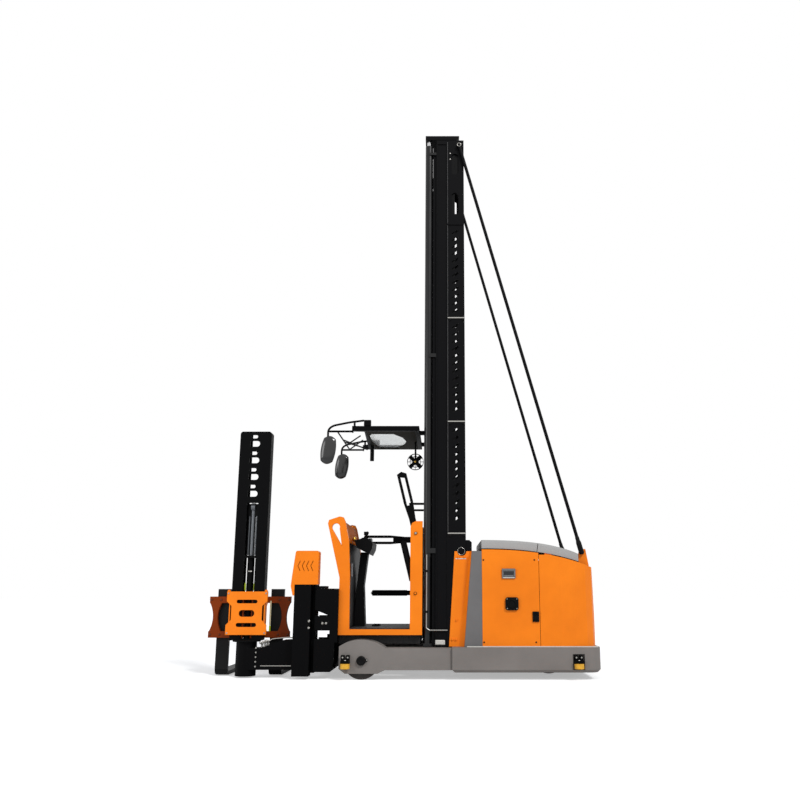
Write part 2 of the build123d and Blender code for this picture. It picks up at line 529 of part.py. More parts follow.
# Leaning front wall between the side frames
wall_line = [(WALL_X, FLOOR_Z), (WALL_X + 3, 1000), (WALL_X + 26, 1350), (WALL_X + 69, 1540)]
wall_outline = wall_line + [(x + 32, z) for x, z in reversed(wall_line)]
front_wall = side_plate(wall_outline, -WALL_Y, WALL_Y)
export_step(front_wall, "parts/cab_front_panel.step")

# Orange side frames: rear post, sill and a front post that leans forwards
GATE_PIN_R = 15.0
HIGH_GATE_Z = 1420.0
LOW_GATE_Z = 820.0
frame_outline = [
    (CAB_REAR_X, CAB_Z0), (CAB_FRONT_X, CAB_Z0), (CAB_FRONT_X, 975), (758, 1520), (748, 1556),
    (640, 1592), (WALL_X + 79, 1584), (WALL_X + 59, 1545), (WALL_X + 16, 1350), (WALL_X - 2, 1000),
    (WALL_X - 7, SILL_Z), (-92, SILL_Z),
    (-92, 1488), (-108, 1526), (-146, 1544), (CAB_REAR_X, 1544)]
frame = side_plate(frame_outline, WALL_Y, CAB_Y)
for z in (LOW_GATE_Z, HIGH_GATE_Z):
    frame -= disc_y(GATE_X, z, GATE_PIN_R + FIT, WALL_Y - 5, CAB_Y + 5)
frame -= disc_y(674, 1482, 40, WALL_Y - 5, CAB_Y + 5)
frame -= side_plate([(636, 1468), (610, 1295), (712, 1468)], WALL_Y - 5, CAB_Y + 5)
export_step(frame, "parts/cab_side_left.step")
export_step(mirrored(frame), "parts/cab_side_right.step")

# Loop gates in pairs on each side, inside the frames, on pins through the rear posts
GATE_T = 22.0
GATE_RAISE = 76.0
GATE_Y1 = WALL_Y - 3


def gate(z, length, root_half, tip_half, web):
    """A tapered loop from its pin, forwards along X; web is where its plate ends."""
    y0 = GATE_Y1 - GATE_T
    tip_x = GATE_X + length
    outline = [
        (GATE_X - 30, z - root_half), (GATE_X + 160, z - root_half), (GATE_X + 330, z - tip_half),
        (tip_x - 20, z - tip_half), (tip_x, z), (tip_x - 30, z + tip_half),
        (GATE_X + 330, z + tip_half), (GATE_X + 160, z + root_half), (GATE_X - 30, z + root_half)]
    hole = tip_half * 0.42
    opening = [
        (GATE_X + web, z - hole), (tip_x - 55, z - hole), (tip_x - 70, z + hole), (GATE_X + web, z + hole)]
    bar = side_plate(outline, y0, GATE_Y1) - side_plate(opening, y0 - 5, GATE_Y1 + 5)
    bar += disc_y(GATE_X, z, 26, y0 - 6, WALL_Y - RUN)
    bar += disc_y(GATE_X, z, GATE_PIN_R, WALL_Y - RUN, CAB_Y + 10)
    return bar


def swung(shape, z, angle):
    """Turned about its pin at height z; a positive angle lowers the tip."""
    return Pos(GATE_X, 0, z) * Rot(0, angle, 0) * Pos(-GATE_X, 0, -z) * shape


high_gate = gate(HIGH_GATE_Z, GATE_LEN, 34.0, 50.0, 300.0)
low_gate = gate(LOW_GATE_Z, GATE_LEN - 110, 26.0, 22.0, 180.0)
export_step(swung(high_gate, HIGH_GATE_Z, -GATE_RAISE), "parts/gate_high_left.step")
export_step(swung(low_gate, LOW_GATE_Z, -GATE_RAISE), "parts/gate_low_left.step")
export_step(mirrored(high_gate), "parts/gate_high_right.step")
export_step(mirrored(low_gate), "parts/gate_low_right.step")

# Control console: a leaning column and a tilted desk with a steering knob
column_line = [(403, FLOOR_Z), (521, FLOOR_Z), (505, 860), (467, 1250), (385, 1250), (425, 900)]
desk_line = [(520, 1368), (400, 1400), (322, 1347), (330, 1285), (360, 1223), (490, 1290)]
console = side_plate(column_line, -70, 80) + side_plate(desk_line, -260, 260)
console += disc_z(400, 205, 10, 1360, 1440) + disc_z(400, 205, 24, 1425, 1462)
export_step(console, "parts/console.step")

# Overhead guard with a shaped window, held on the carriage's uprights
ROOF_X0 = -173.0
ROOF_X1 = 521.0
roof_plan = [
    (ROOF_X0, CAB_Y), (ROOF_X1, CAB_Y), (ROOF_X1, CAB_Y - 50), (410, CAB_Y - 60), (460, -CAB_Y + 60),
    (ROOF_X1, -CAB_Y + 50), (ROOF_X1, -CAB_Y), (ROOF_X0, -CAB_Y)]
BEAM_W = 45.0
PANEL_X1 = 395.0
PANEL_T = 12.0
window_plan = [
    (384, 100), (375, 310), (340, 400), (110, 400), (20, 180), (-12, -70), (20, -280), (110, -540),
    (310, -540), (352, -420), (380, -150)]
roof = flat_plate(roof_plan, ROOF_Z0, ROOF_Z1)
roof -= block(ROOF_X0 + BEAM_W, PANEL_X1, -CAB_Y + BEAM_W, CAB_Y - BEAM_W, ROOF_Z0 - 1, ROOF_Z1 + 1)
roof += both_sides(block(POST_X1 - 60, ROOF_X0, CARRIAGE_Y - 60, CARRIAGE_Y, ROOF_Z0, ROOF_Z1 - 12))
export_step(roof, "parts/overhead_guard.step")
panel = block(ROOF_X0 + BEAM_W, PANEL_X1, -CAB_Y + BEAM_W, CAB_Y - BEAM_W, ROOF_Z0, ROOF_Z0 + PANEL_T)
panel -= flat_plate(window_plan, ROOF_Z0 - 1, ROOF_Z0 + PANEL_T + 1)
export_step(panel, "parts/roof_panel.step")
pane_plan = [(x * 1.02 - 4, y * 1.02) for x, y in window_plan]
pane = flat_plate(pane_plan, ROOF_Z0 + PANEL_T, ROOF_Z0 + PANEL_T + 6)
export_step(pane, "parts/roof_window.step")

# Bent tube frames in front of the roof, each with its mirror
TUBE_R = 11.0
MIRROR_Y = CAB_Y - 10
HOLDER_X1 = ROOF_X1 - 110
DROP_X = 788.0
LOW_TUBE_Z = ROOF_Z1 - 57
bends = [(HOLDER_X1, 60), (560, 41), (740, 4), (DROP_X, -36), (DROP_X, -141)]
frame_tube = tube_run([(x, MIRROR_Y, ROOF_Z1 + rise) for x, rise in bends], TUBE_R)
frame_tube += rod((ROOF_X1, MIRROR_Y, LOW_TUBE_Z), (DROP_X, MIRROR_Y, LOW_TUBE_Z), TUBE_R)
frame_tube += rod((ROOF_X1 - 11, MIRROR_Y, ROOF_Z1), (ROOF_X1 - 11, MIRROR_Y, ROOF_Z1 + 49), TUBE_R)
frame_tube += block(HOLDER_X1 - 75, HOLDER_X1, MIRROR_Y - 20, MIRROR_Y + 20, ROOF_Z1, ROOF_Z1 + 64)
frame_tube += block(ROOF_X1, ROOF_X1 + 14, MIRROR_Y - 16, MIRROR_Y + 16, LOW_TUBE_Z - 14, ROOF_Z1)
mirror_head = side_plate(
    [(700, 2160), (722, 2134), (770, 2130), (826, 2150), (856, 2210), (860, 2345), (842, 2410), (795, 2440),
     (735, 2438), (704, 2400)], MIRROR_Y - 20, MIRROR_Y + 30)
export_step(both_sides(frame_tube + mirror_head), "parts/mirrors.step")

# Round fan and a lamp that hang under the roof
FAN_X = -112.0
FAN_Z = 2262.0
fan = disc_y(FAN_X, FAN_Z, 24, -120, -70) + block(FAN_X - 10, FAN_X + 10, -118, -98, FAN_Z, ROOF_Z0)
blade = Pos(0, 0, 54) * Rot(0, 0, 25) * Box(46, 4, 68)
for turn in (0, 90, 180, 270):
    fan += Pos(FAN_X, -80, FAN_Z) * Rot(0, turn + 45, 0) * blade
export_step(fan, "parts/fan.step")
lamp = disc_z(402, -350, 23, 2314, ROOF_Z0)
export_step(lamp, "parts/work_lamp.step")

# Traverse frame across the front of the cab: two rails on end plates
RAIL_Z1 = 858.0
STRIP_Z1 = RAIL_Z1 + 10
TRAV_Y = 640.0
traverse = block(CAB_FRONT_X, CAB_FRONT_X + 30, -TRAV_Y, TRAV_Y, 345, RAIL_Z1)
traverse -= block(CAB_FRONT_X - 1, CAB_FRONT_X + 31, -420, 420, 480, 800)
traverse += block(700, TRAVERSE_X1, -TRAV_Y, TRAV_Y, 760, RAIL_Z1)
traverse += block(690, TRAVERSE_X1, -TRAV_Y, TRAV_Y, 66, 180)
traverse += block(730, TRAVERSE_X1 - 22, -TRAV_Y, TRAV_Y, RAIL_Z1, STRIP_Z1)
end_outline = [
    (CAB_FRONT_X + 30, 150), (690, 66), (TRAVERSE_X1, 66), (TRAVERSE_X1, 380), (705, 380), (705, 460),
    (TRAVERSE_X1, 460), (TRAVERSE_X1, 600), (700, 600), (TRAVERSE_X1, 660), (TRAVERSE_X1, RAIL_Z1),
    (CAB_FRONT_X + 30, RAIL_Z1)]
for y in (-TRAV_Y, -330, 310, TRAV_Y - 20):
    traverse += side_plate(end_outline, y, y + 20)
export_step(traverse, "parts/traverse_frame.step")

# Traverse carriage: column, hook over the top rail, low arm and swivel post
COLUMN_X0 = TRAVERSE_X1 + CLEAR
COLUMN_Y0 = HEAD_Y - 90
COLUMN_Y1 = HEAD_Y + 240
COLUMN_MID_Y = 545.0
POST_TOP = 345.0
POST_R = 103.0
MINI_FOOT = 358.0
SWIVEL_PIN_R = 60.0
column = block(COLUMN_X0 + 33, COLUMN_X1, COLUMN_MID_Y, COLUMN_Y1, 28, COLUMN_TOP)
column += block(COLUMN_X0, COLUMN_X1, COLUMN_Y0, COLUMN_MID_Y, 50, COLUMN_TOP)
column -= block(COLUMN_X0 + 40, COLUMN_X1 - 40, COLUMN_Y0 - 1, COLUMN_MID_Y, 378, 492)
hook_z = STRIP_Z1 + RUN
column += block(760, COLUMN_X0, COLUMN_Y0 + 40, COLUMN_Y1 - 40, hook_z, hook_z + 24)
arm_outline = [
    (COLUMN_X1 - 5, 78), (HEAD_X, 78), (HEAD_X, 288), (1405, 288), (1180, 362), (COLUMN_X1 - 5, 370)]
column += side_plate(arm_outline, HEAD_Y - 60, HEAD_Y + 100)
column += disc_z(HEAD_X, HEAD_Y, POST_R, 14, POST_TOP)
column += disc_z(HEAD_X, HEAD_Y, SWIVEL_PIN_R, POST_TOP, MINI_FOOT - RUN)
export_step(column, "parts/traverse_carriage.step")
COVER_T = 4.0
COVER_X0 = 828.0
COVER_Z1 = 1240.0
LIP_Z0 = 800.0
lip_x = COLUMN_X1 + RUN
cover_line = [
    (lip_x, LIP_Z0), (lip_x + 16, LIP_Z0), (1100, 890), (1092, 980), (1061, COVER_Z1), (COVER_X0, COVER_Z1),
    (COVER_X0, COLUMN_TOP), (lip_x, COLUMN_TOP)]
cover = side_plate(cover_line, COLUMN_MID_Y, COLUMN_Y1)
cover = fillet(cover.edges().filter_by(Axis.Y).group_by(Axis.Z)[-1], 20)
cover_room = [
    (COVER_X0 + COVER_T, COLUMN_TOP - 1), (1089, COLUMN_TOP - 1), (1057, COVER_Z1 - 20),
    (1040, COVER_Z1 - COVER_T), (COVER_X0 + 21, COVER_Z1 - COVER_T), (COVER_X0 + COVER_T, COVER_Z1 - 20)]
cover -= side_plate(cover_room, COLUMN_MID_Y + COVER_T, COLUMN_Y1 - COVER_T)
CHEVRON_X = 895.0
CHEVRON_Z = 1090.0
for i in range(4):
    for lean in (25, -25):
        slit = Rot(0, -lean, 0) * Box(6, COVER_T * 3, 56)
        cover -= Pos(CHEVRON_X + i * 43, COLUMN_Y1, CHEVRON_Z + lean) * slit
export_step(cover, "parts/head_cover.step")

# Swivelling mini mast: two channels on a foot ring, and a slotted back plate
MINI_Y0 = HEAD_Y - 60
MINI_Y1 = HEAD_Y + 60
CHANNEL_W = 108.0
foot_z = POST_TOP + RUN
MINI_T = 12.0
MINI_PITCH = 177.0
mini = disc_z(HEAD_X, HEAD_Y, 140, foot_z, MINI_FOOT)
mini -= disc_z(HEAD_X, HEAD_Y, SWIVEL_PIN_R + FIT, foot_z - 1, MINI_FOOT + 1)
for side in (-1, 1):
    x_out = HEAD_X + side * MINI_HALF
    x_in = HEAD_X + side * (MINI_HALF - CHANNEL_W)
    x_web = HEAD_X + side * (MINI_HALF - MINI_T)
    post = block(*sorted((x_out, x_in)), MINI_Y0, MINI_Y1, MINI_FOOT, MINI_TOP)
    x0, x1 = sorted((x_web, x_in))
    post -= block(x0 - 1, x1 + 1, MINI_Y0 + MINI_T, MINI_Y1 - MINI_T, MINI_FOOT, MINI_TOP + 1)
    mini += post
mini += block(HEAD_X - MINI_HALF, HEAD_X + MINI_HALF, MINI_Y0, MINI_Y1, MINI_FOOT, MINI_FOOT + 16)
back_x0 = HEAD_X - MINI_HALF + 8
back_x1 = HEAD_X + MINI_HALF - 8
slotted = block(back_x0, back_x1, MINI_Y1 - MINI_T, MINI_Y1, MINI_TOP - 760, MINI_TOP)
for i in range(4):
    z_small = MINI_TOP - 56 - i * MINI_PITCH
    z_large = MINI_TOP - 132 - i * MINI_PITCH
    slotted -= block(HEAD_X - 20, HEAD_X + 50, MINI_Y1 - 20, MINI_Y1 + 5, z_small - 18, z_small + 18)
    slotted -= block(HEAD_X - 45, HEAD_X + 75, MINI_Y1 - 20, MINI_Y1 + 5, z_large - 31, z_large + 31)
mini += slotted
mini += block(back_x0, back_x1, MINI_Y1 - MINI_T, MINI_Y1, 1175, 1200)
TOP_CORNER = 30.0
corner_z = MINI_TOP - TOP_CORNER
for side in (-1, 1):
    x_end = HEAD_X + side * MINI_HALF
    x_arc = x_end - side * TOP_CORNER
    x0, x1 = sorted((x_end, x_arc))
    corner = block(x0 - 1, x1 + 1, MINI_Y0 - 1, MINI_Y1 + 1, corner_z, MINI_TOP + 1)
    corner -= disc_y(x_arc, corner_z, TOP_CORNER, MINI_Y0 - 2, MINI_Y1 + 2)
    x0, x1 = sorted((x_arc, x_arc - side))
    corner -= block(x0, x1, MINI_Y0 - 2, MINI_Y1 + 2, corner_z - 1, MINI_TOP + 2)
    mini -= corner
export_step(mini, "parts/mini_mast.step")
MINI_RAM_Y = HEAD_Y - 5
MINI_RAM_Z1 = 1186.0
mini_tube = disc_z(HEAD_X, MINI_RAM_Y, 36, MINI_FOOT + 16, MINI_RAM_Z1)
export_step(mini_tube, "parts/mini_cylinder.step")
mini_rod = disc_z(HEAD_X, MINI_RAM_Y, 26, MINI_RAM_Z1, 1720)
mini_rod += disc_x(MINI_RAM_Y, 1700, 44, HEAD_X - 20, HEAD_X + 20)
export_step(mini_rod, "parts/mini_rod.step")

# Fork carriage: two bars, waisted uprights, and roller plates inside the channels
CARR_Y1 = MINI_Y0 - CLEAR
CARR_Y0 = CARR_Y1 - 42
BAR_TOP = 787.0
BAR_LOW = 377.0
BAR_H = 65.0
WAIST_Z = 582.0
UPRIGHT_Z0 = 430.0
UPRIGHT_Z1 = 730.0
fork_frame = block(HEAD_X - FORK_HALF, HEAD_X + FORK_HALF, CARR_Y0, CARR_Y1, BAR_TOP - BAR_H, BAR_TOP)
fork_frame += block(HEAD_X - FORK_HALF, HEAD_X + FORK_HALF, CARR_Y0, CARR_Y1, BAR_LOW, BAR_LOW + BAR_H - 1)
for side in (-1, 1):
    end_x = HEAD_X + side * FORK_HALF
    inner_end = end_x - side * 130
    outer_low = (end_x, CARR_Y0, UPRIGHT_Z0)
    outer_high = (end_x, CARR_Y0, UPRIGHT_Z1)
    inner_low = (inner_end, CARR_Y0, UPRIGHT_Z0)
    inner_high = (inner_end, CARR_Y0, UPRIGHT_Z1)
    outer_arc = ThreePointArc(outer_low, (end_x - side * 40, CARR_Y0, WAIST_Z), outer_high)
    inner_arc = ThreePointArc(inner_high, (end_x - side * 88, CARR_Y0, WAIST_Z), inner_low)
    waist = make_face([outer_arc, Line(outer_high, inner_high), inner_arc, Line(inner_low, outer_low)])
    fork_frame += extrude(waist, amount=CARR_Y1 - CARR_Y0, dir=(0, 1, 0))
    inner_x = HEAD_X + side * (MINI_HALF - CHANNEL_W - CLEAR)
    plate_x = inner_x - side * 14
    fork_frame += block(*sorted((inner_x, plate_x)), CARR_Y0, MINI_Y1 - 14, BAR_LOW + 2, BAR_TOP)
    stub_x = HEAD_X + side * (MINI_HALF - 20)
    for z in (BAR_LOW + 60, BAR_TOP - 60):
        fork_frame += disc_x(HEAD_Y, z, 48 - RUN, *sorted((plate_x, stub_x)))
export_step(fork_frame, "parts/fork_carriage.step")

# Bright orange guard that wraps the mini mast's back, with slots and notches
GUARD_HALF = 206.0
GUARD_Y1 = MINI_Y1 + 22
GUARD_T = 12.0
g_out = HEAD_X - GUARD_HALF
back_outline = [
    (g_out, 412), (g_out, 508), (g_out + 50, 558), (g_out + 50, 695), (g_out, 742), (g_out, 838)]
back_outline += [(2 * HEAD_X - x, z) for x, z in reversed(back_outline)]
guard = side_plate(back_outline, GUARD_Y1 - GUARD_T, GUARD_Y1)
guard_slots = [(739.0, 106.0, 18.0), (622.0, 79.0, 33.0), (509.0, 103.0, 20.0)]
for z, half_x, half_z in guard_slots:
    reach = half_x - half_z
    guard -= block(HEAD_X - reach, HEAD_X + reach, GUARD_Y1 - 20, GUARD_Y1 + 5, z - half_z, z + half_z)
    for side in (-1, 1):
        guard -= disc_y(HEAD_X + side * reach, z, half_z, GUARD_Y1 - 20, GUARD_Y1 + 5)
wall_y = GUARD_Y1 - GUARD_T
side_wall = [
    (CARR_Y1, 412), (wall_y, 412), (wall_y, 838), (CARR_Y1, 838), (CARR_Y1, BAR_TOP - BAR_H),
    (CARR_Y1 + 40, 690), (CARR_Y1 + 40, 500), (CARR_Y1, BAR_LOW + BAR_H - 1)]
wall_x = MINI_HALF + CLEAR
for x in (HEAD_X - wall_x - 10, HEAD_X + wall_x):
    guard += front_plate(side_wall, x, x + 10)
export_step(guard, "parts/fork_guard.step")

# Forks: hooked shanks with rounded heels and tapered blades
HEEL_R = 60.0
BLADE_Z0 = 8.0
SHANK_TOP = 863.0
for name, x in (("front", HEAD_X + FORK_OFF), ("rear", HEAD_X - FORK_OFF)):
    y = CARR_Y0
    tip_y = y - FORK_LEN
    profile = [
        (y - FORK_T, SHANK_TOP), (y - FORK_T, BLADE_Z0 + FORK_T), (tip_y, BLADE_Z0 + FORK_T),
        (tip_y, BLADE_Z0 + 26), (y - 700, BLADE_Z0), (y - HEEL_R, BLADE_Z0), (y - 18, BLADE_Z0 + 18),
        (y, BLADE_Z0 + HEEL_R), (y, BAR_TOP), (y + 26, BAR_TOP), (y + 26, SHANK_TOP)]
    fork = front_plate(profile, x - FORK_W / 2, x + FORK_W / 2)
    fork = chamfer(fork.edges().filter_by(Axis.Z).sort_by(Axis.Y)[:2], 35)
    export_step(fork, f"parts/fork_{name}.step")

# Charge display, socket and latch on the left panel
display = block(-1147, -1018, BODY_Y, BODY_Y + 12, 968, 1060)
display -= block(-1132, -1033, BODY_Y + 8, BODY_Y + 13, 985, 1038)
socket = block(-1175, -1045, BODY_Y, BODY_Y + 20, 657, 783)
socket = fillet(socket.edges().filter_by(Axis.Y), 24)
latch = block(-1377, -1313, BODY_Y, BODY_Y + 14, 546, 645)
export_step(display + socket + latch, "parts/charge_panel.step")
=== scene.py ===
# %% [markdown]
# A three-way forklift for very narrow aisles stands parked with its fork head at the left of the picture.
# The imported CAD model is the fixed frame. This lesson gives it its finishes and the small pieces around it.

from math import cos, pi, radians, sin

import bmesh
import bpy
from mathutils import Matrix, Vector


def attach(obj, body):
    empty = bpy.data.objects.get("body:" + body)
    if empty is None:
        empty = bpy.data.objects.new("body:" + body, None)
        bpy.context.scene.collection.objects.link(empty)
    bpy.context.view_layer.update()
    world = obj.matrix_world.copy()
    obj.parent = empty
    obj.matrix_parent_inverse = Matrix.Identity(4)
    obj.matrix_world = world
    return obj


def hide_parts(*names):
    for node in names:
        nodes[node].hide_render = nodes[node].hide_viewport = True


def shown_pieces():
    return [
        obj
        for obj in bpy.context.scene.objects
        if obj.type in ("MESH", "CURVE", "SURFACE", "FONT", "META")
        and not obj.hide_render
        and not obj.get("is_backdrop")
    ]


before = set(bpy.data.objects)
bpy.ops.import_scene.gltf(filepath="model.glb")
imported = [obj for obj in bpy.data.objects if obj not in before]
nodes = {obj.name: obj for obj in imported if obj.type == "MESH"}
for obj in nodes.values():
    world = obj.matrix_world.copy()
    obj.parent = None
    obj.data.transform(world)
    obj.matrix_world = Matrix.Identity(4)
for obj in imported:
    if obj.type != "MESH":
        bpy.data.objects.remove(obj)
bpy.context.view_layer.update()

# %% [markdown]
# The photograph was taken from low down, about 8 m from the truck's left side, with the camera tipped up.
# The lens and the place were worked out from the parallel edges of the near and far sides of the truck.
# The photograph is cut out off centre, so the lens is shifted a little. The camera isn't rolled or turned.

# %% Camera
TIPPED_UP = 13.0
camera_data = bpy.data.cameras.new("photo_camera")
camera_data.lens = 36.9
camera_data.sensor_width = 36.0
camera_data.shift_x = -0.055
camera = bpy.data.objects.new("photo_camera", camera_data)
camera.location = (-0.435, 9.10, 0.86)
camera.rotation_euler = (radians(90 + TIPPED_UP), 0, radians(180))
bpy.context.scene.collection.objects.link(camera)
bpy.context.scene.camera = camera
bpy.context.scene.view_settings.view_transform = "Standard"
print("camera at", tuple(camera.location))

# %% [markdown]
# Colours are written as the hex values that a colour picker shows. One function turns them to linear light.
# One small function adds a shader node. Each keyword names a socket, or gives its number as in0, in6 or in7.
# The value is a number, a colour or the socket that feeds it.


# %% Colour and node helpers
def linear(hex_colour, alpha=1.0):
    """An sRGB hex colour as linear red, green, blue and alpha."""
    parts = [int(hex_colour[i : i + 2], 16) / 255 for i in (1, 3, 5)]
    return (*[p / 12.92 if p <= 0.04045 else ((p + 0.055) / 1.055) ** 2.4 for p in parts], alpha)


def add(tree, kind, settings=None, **sockets):
    """Adds one node, sets its options, and fills or links its sockets."""
    node = tree.nodes.new("ShaderNode" + kind)
    for key, value in (settings or {}).items():
        setattr(node, key, value)
    for key, value in sockets.items():
        numbered = key.startswith("in") and key[2:].isdigit()
        socket = node.inputs[int(key[2:]) if numbered else key.replace("_", " ")]
        if isinstance(value, bpy.types.NodeSocket):
            tree.links.new(value, socket)
        else:
            socket.default_value = value
    return node


def new_material(name):
    """An empty node material with its output, and the point of the surface in metres."""
    material = bpy.data.materials.new(name)
    material.use_nodes = True
    tree = material.node_tree
    tree.nodes.clear()
    output = add(tree, "OutputMaterial")
    place = add(tree, "TexCoord").outputs["Object"]
    return material, tree, output, place


def per_metre(millimetres):
    """The texture scale at which one feature is this many millimetres wide."""
    return 1000.0 / millimetres


def toned(colour, factor):
    """A linear colour made darker or lighter by a factor."""
    return (*[min(c * factor, 1) for c in colour[:3]], 1)


print("helpers ready; a 4 mm grain has scale", per_metre(4))

# %% [markdown]
# Most of the truck is welded steel plate with a powder coat: a thick, even skin with a faint orange peel.
# The peel is a low bump about 5 mm across. Slow noise shifts the colour a little, as sun and dust do.
# A soft bevel in the shading catches light along the plate edges and finds where paint rubs thin.


# %% Powder-coated steel
DUST = linear("#b9b2a6")


def powder_coat(name, hex_colour, worn_hex, roughness, dust=0.10, wear=0.35, gloss=0.30):
    """Powder-coated plate: base colour, worn edges, settled dust and orange peel."""
    material, tree, output, place = new_material(name)
    slow = add(tree, "TexNoise", Vector=place, Scale=per_metre(420), Detail=5.0, Roughness=0.55)
    shade = add(tree, "ValToRGB", Fac=slow.outputs["Fac"])
    base = linear(hex_colour)
    shade.color_ramp.elements[0].position = 0.3
    shade.color_ramp.elements[0].color = toned(base, 0.86)
    shade.color_ramp.elements[1].position = 0.7
    shade.color_ramp.elements[1].color = toned(base, 1.06)
    # Worn edges: where the bevelled normal leaves the true one, broken up by fine noise
    bevel = add(tree, "Bevel", {"samples": 4}, Radius=0.004)
    true_normal = add(tree, "NewGeometry").outputs["Normal"]
    facing = add(
        tree, "VectorMath", {"operation": "DOT_PRODUCT"}, in0=bevel.outputs["Normal"], in1=true_normal)
    chips = add(tree, "TexNoise", Vector=place, Scale=per_metre(35), Detail=6.0, Roughness=0.7)
    edge = add(tree, "MapRange", Value=facing.outputs["Value"], From_Min=0.985, From_Max=0.90)
    chipped = add(tree, "MapRange", Value=chips.outputs["Fac"], From_Min=0.52, From_Max=0.66)
    rubbed = add(
        tree, "Math", {"operation": "MULTIPLY"}, in0=edge.outputs["Result"], in1=chipped.outputs["Result"])
    amount = add(tree, "Math", {"operation": "MULTIPLY"}, in0=rubbed.outputs["Value"], in1=wear)
    worn = add(
        tree, "Mix", {"data_type": "RGBA"}, in0=amount.outputs["Value"], in6=shade.outputs["Color"],
        in7=linear(worn_hex))
    # Dust settles on upward faces
    up = add(tree, "SeparateXYZ", Vector=true_normal).outputs["Z"]
    settled = add(tree, "MapRange", Value=up, From_Min=0.35, From_Max=1.0, To_Max=dust)
    patchy = add(
        tree, "Math", {"operation": "MULTIPLY"}, in0=settled.outputs["Result"], in1=slow.outputs["Fac"])
    dusty = add(
        tree, "Mix", {"data_type": "RGBA"}, in0=patchy.outputs["Value"], in6=worn.outputs[2], in7=DUST)
    rough = add(
        tree, "MapRange", Value=slow.outputs["Fac"], From_Min=0.3, From_Max=0.7,
        To_Min=max(roughness - 0.05, 0.05), To_Max=roughness + 0.08)
    peel = add(tree, "TexNoise", Vector=place, Scale=per_metre(5), Detail=2.0)
    bump = add(
        tree, "Bump", Height=peel.outputs["Fac"], Strength=0.12, Distance=0.0006,
        Normal=bevel.outputs["Normal"])
    shader = add(
        tree, "BsdfPrincipled", Base_Color=dusty.outputs[2], Roughness=rough.outputs["Result"],
        Normal=bump.outputs["Normal"], Specular_IOR_Level=gloss)
    tree.links.new(shader.outputs["BSDF"], output.inputs["Surface"])
    return material


orange_coat = powder_coat("orange_powder_coat", "#ff8411", "#9a4a12", 0.4, gloss=0.2)
# The fork carriage takes the orange paint darkened to a brown: painted shade, not a paint of its own.
carriage_shaded_coat = powder_coat("brown_powder_coat", "#7a3004", "#5a3a1a", 0.5, dust=0.03, gloss=0.12)
# The cab front panel's darker orange is the same orange paint with painted shade.
front_panel_shaded_coat = powder_coat("amber_powder_coat", "#b45a10", "#5a3a1a", 0.6, dust=0.03, gloss=0.04)
chassis_coat = powder_coat("grey_chassis_enamel", "#7c7773", "#4e4b49", 0.5, dust=0.15, gloss=0.25)
grey_enamel_and_highlight_coat = powder_coat("corner_grey_enamel", "#6e6d6d", "#4e4b49", 0.5, gloss=0.25)
mast_coat = powder_coat("mast_black_powder_coat", "#050507", "#3c3a38", 0.5, dust=0.03, gloss=0.08)
frame_coat = powder_coat("satin_black_powder_coat", "#030304", "#44403c", 0.5, dust=0.03, gloss=0.06)
print("powder coats", orange_coat.name, carriage_shaded_coat.name, front_panel_shaded_coat.name, chassis_coat.name)
print("and", grey_enamel_and_highlight_coat.name, mast_coat.name, frame_coat.name)

# %% [markdown]
# The hood, the desk and the mirrors' shells are moulded plastic. Such a mould leaves a fine pebble, about
# 1.5 mm wide. From metres away it only softens the highlights, so it is drawn 4 mm wide to show at all.


# %% Moulded plastic
def moulded(name, hex_colour, roughness, grain_mm=4.0, depth=0.0005, gloss=0.3):
    """ABS or PE with a pebbled mould grain and a faint cloudiness."""
    material, tree, output, place = new_material(name)
    cloud = add(tree, "TexNoise", Vector=place, Scale=per_metre(260), Detail=4.0)
    base = linear(hex_colour)
    tone = add(
        tree, "Mix", {"data_type": "RGBA"}, in0=cloud.outputs["Fac"], in6=toned(base, 0.92),
        in7=toned(base, 1.07))
    grain = add(tree, "TexVoronoi", {"feature": "SMOOTH_F1"}, Vector=place, Scale=per_metre(grain_mm))
    bevel = add(tree, "Bevel", {"samples": 4}, Radius=0.005)
    bump = add(
        tree, "Bump", Height=grain.outputs["Distance"], Strength=0.25, Distance=depth,
        Normal=bevel.outputs["Normal"])
    shader = add(
        tree, "BsdfPrincipled", Base_Color=tone.outputs[2], Roughness=roughness,
        Normal=bump.outputs["Normal"], Specular_IOR_Level=gloss)
    tree.links.new(shader.outputs["BSDF"], output.inputs["Surface"])
    return material


hood_plastic = moulded("grey_hood_plastic", "#a9a8a6", 0.42)
black_plastic = moulded("black_abs_plastic", "#060607", 0.5, gloss=0.09)
mirror_shell = moulded("gloss_black_mirror_shell", "#050506", 0.18, depth=0.00005, gloss=0.75)
panel_plastic = moulded("olive_roof_lining", "#1f1b12", 0.7, gloss=0.06)
case_plastic = moulded("battery_case_plastic", "#222326", 0.55)
rubber_grip = moulded("rubber_pedal_grip", "#0c0c0d", 0.75, gloss=0.1)
nylon_white = moulded("white_nylon", "#d9d7d0", 0.5)
grey_plastic = moulded("grey_display_bezel", "#6f7173", 0.45)
dark_glass = moulded("dark_display_glass", "#14171c", 0.12, depth=0.00002, gloss=0.5)
print("plastics", hood_plastic.name, black_plastic.name)

# %% [markdown]
# Bare metals are fully metallic, with a colour and a roughness of their own. Streaks follow the way each
# was worked: along a drawn pipe or a ground rod, evenly over a zinc-plated screw. The lift rod is almost a
# mirror.


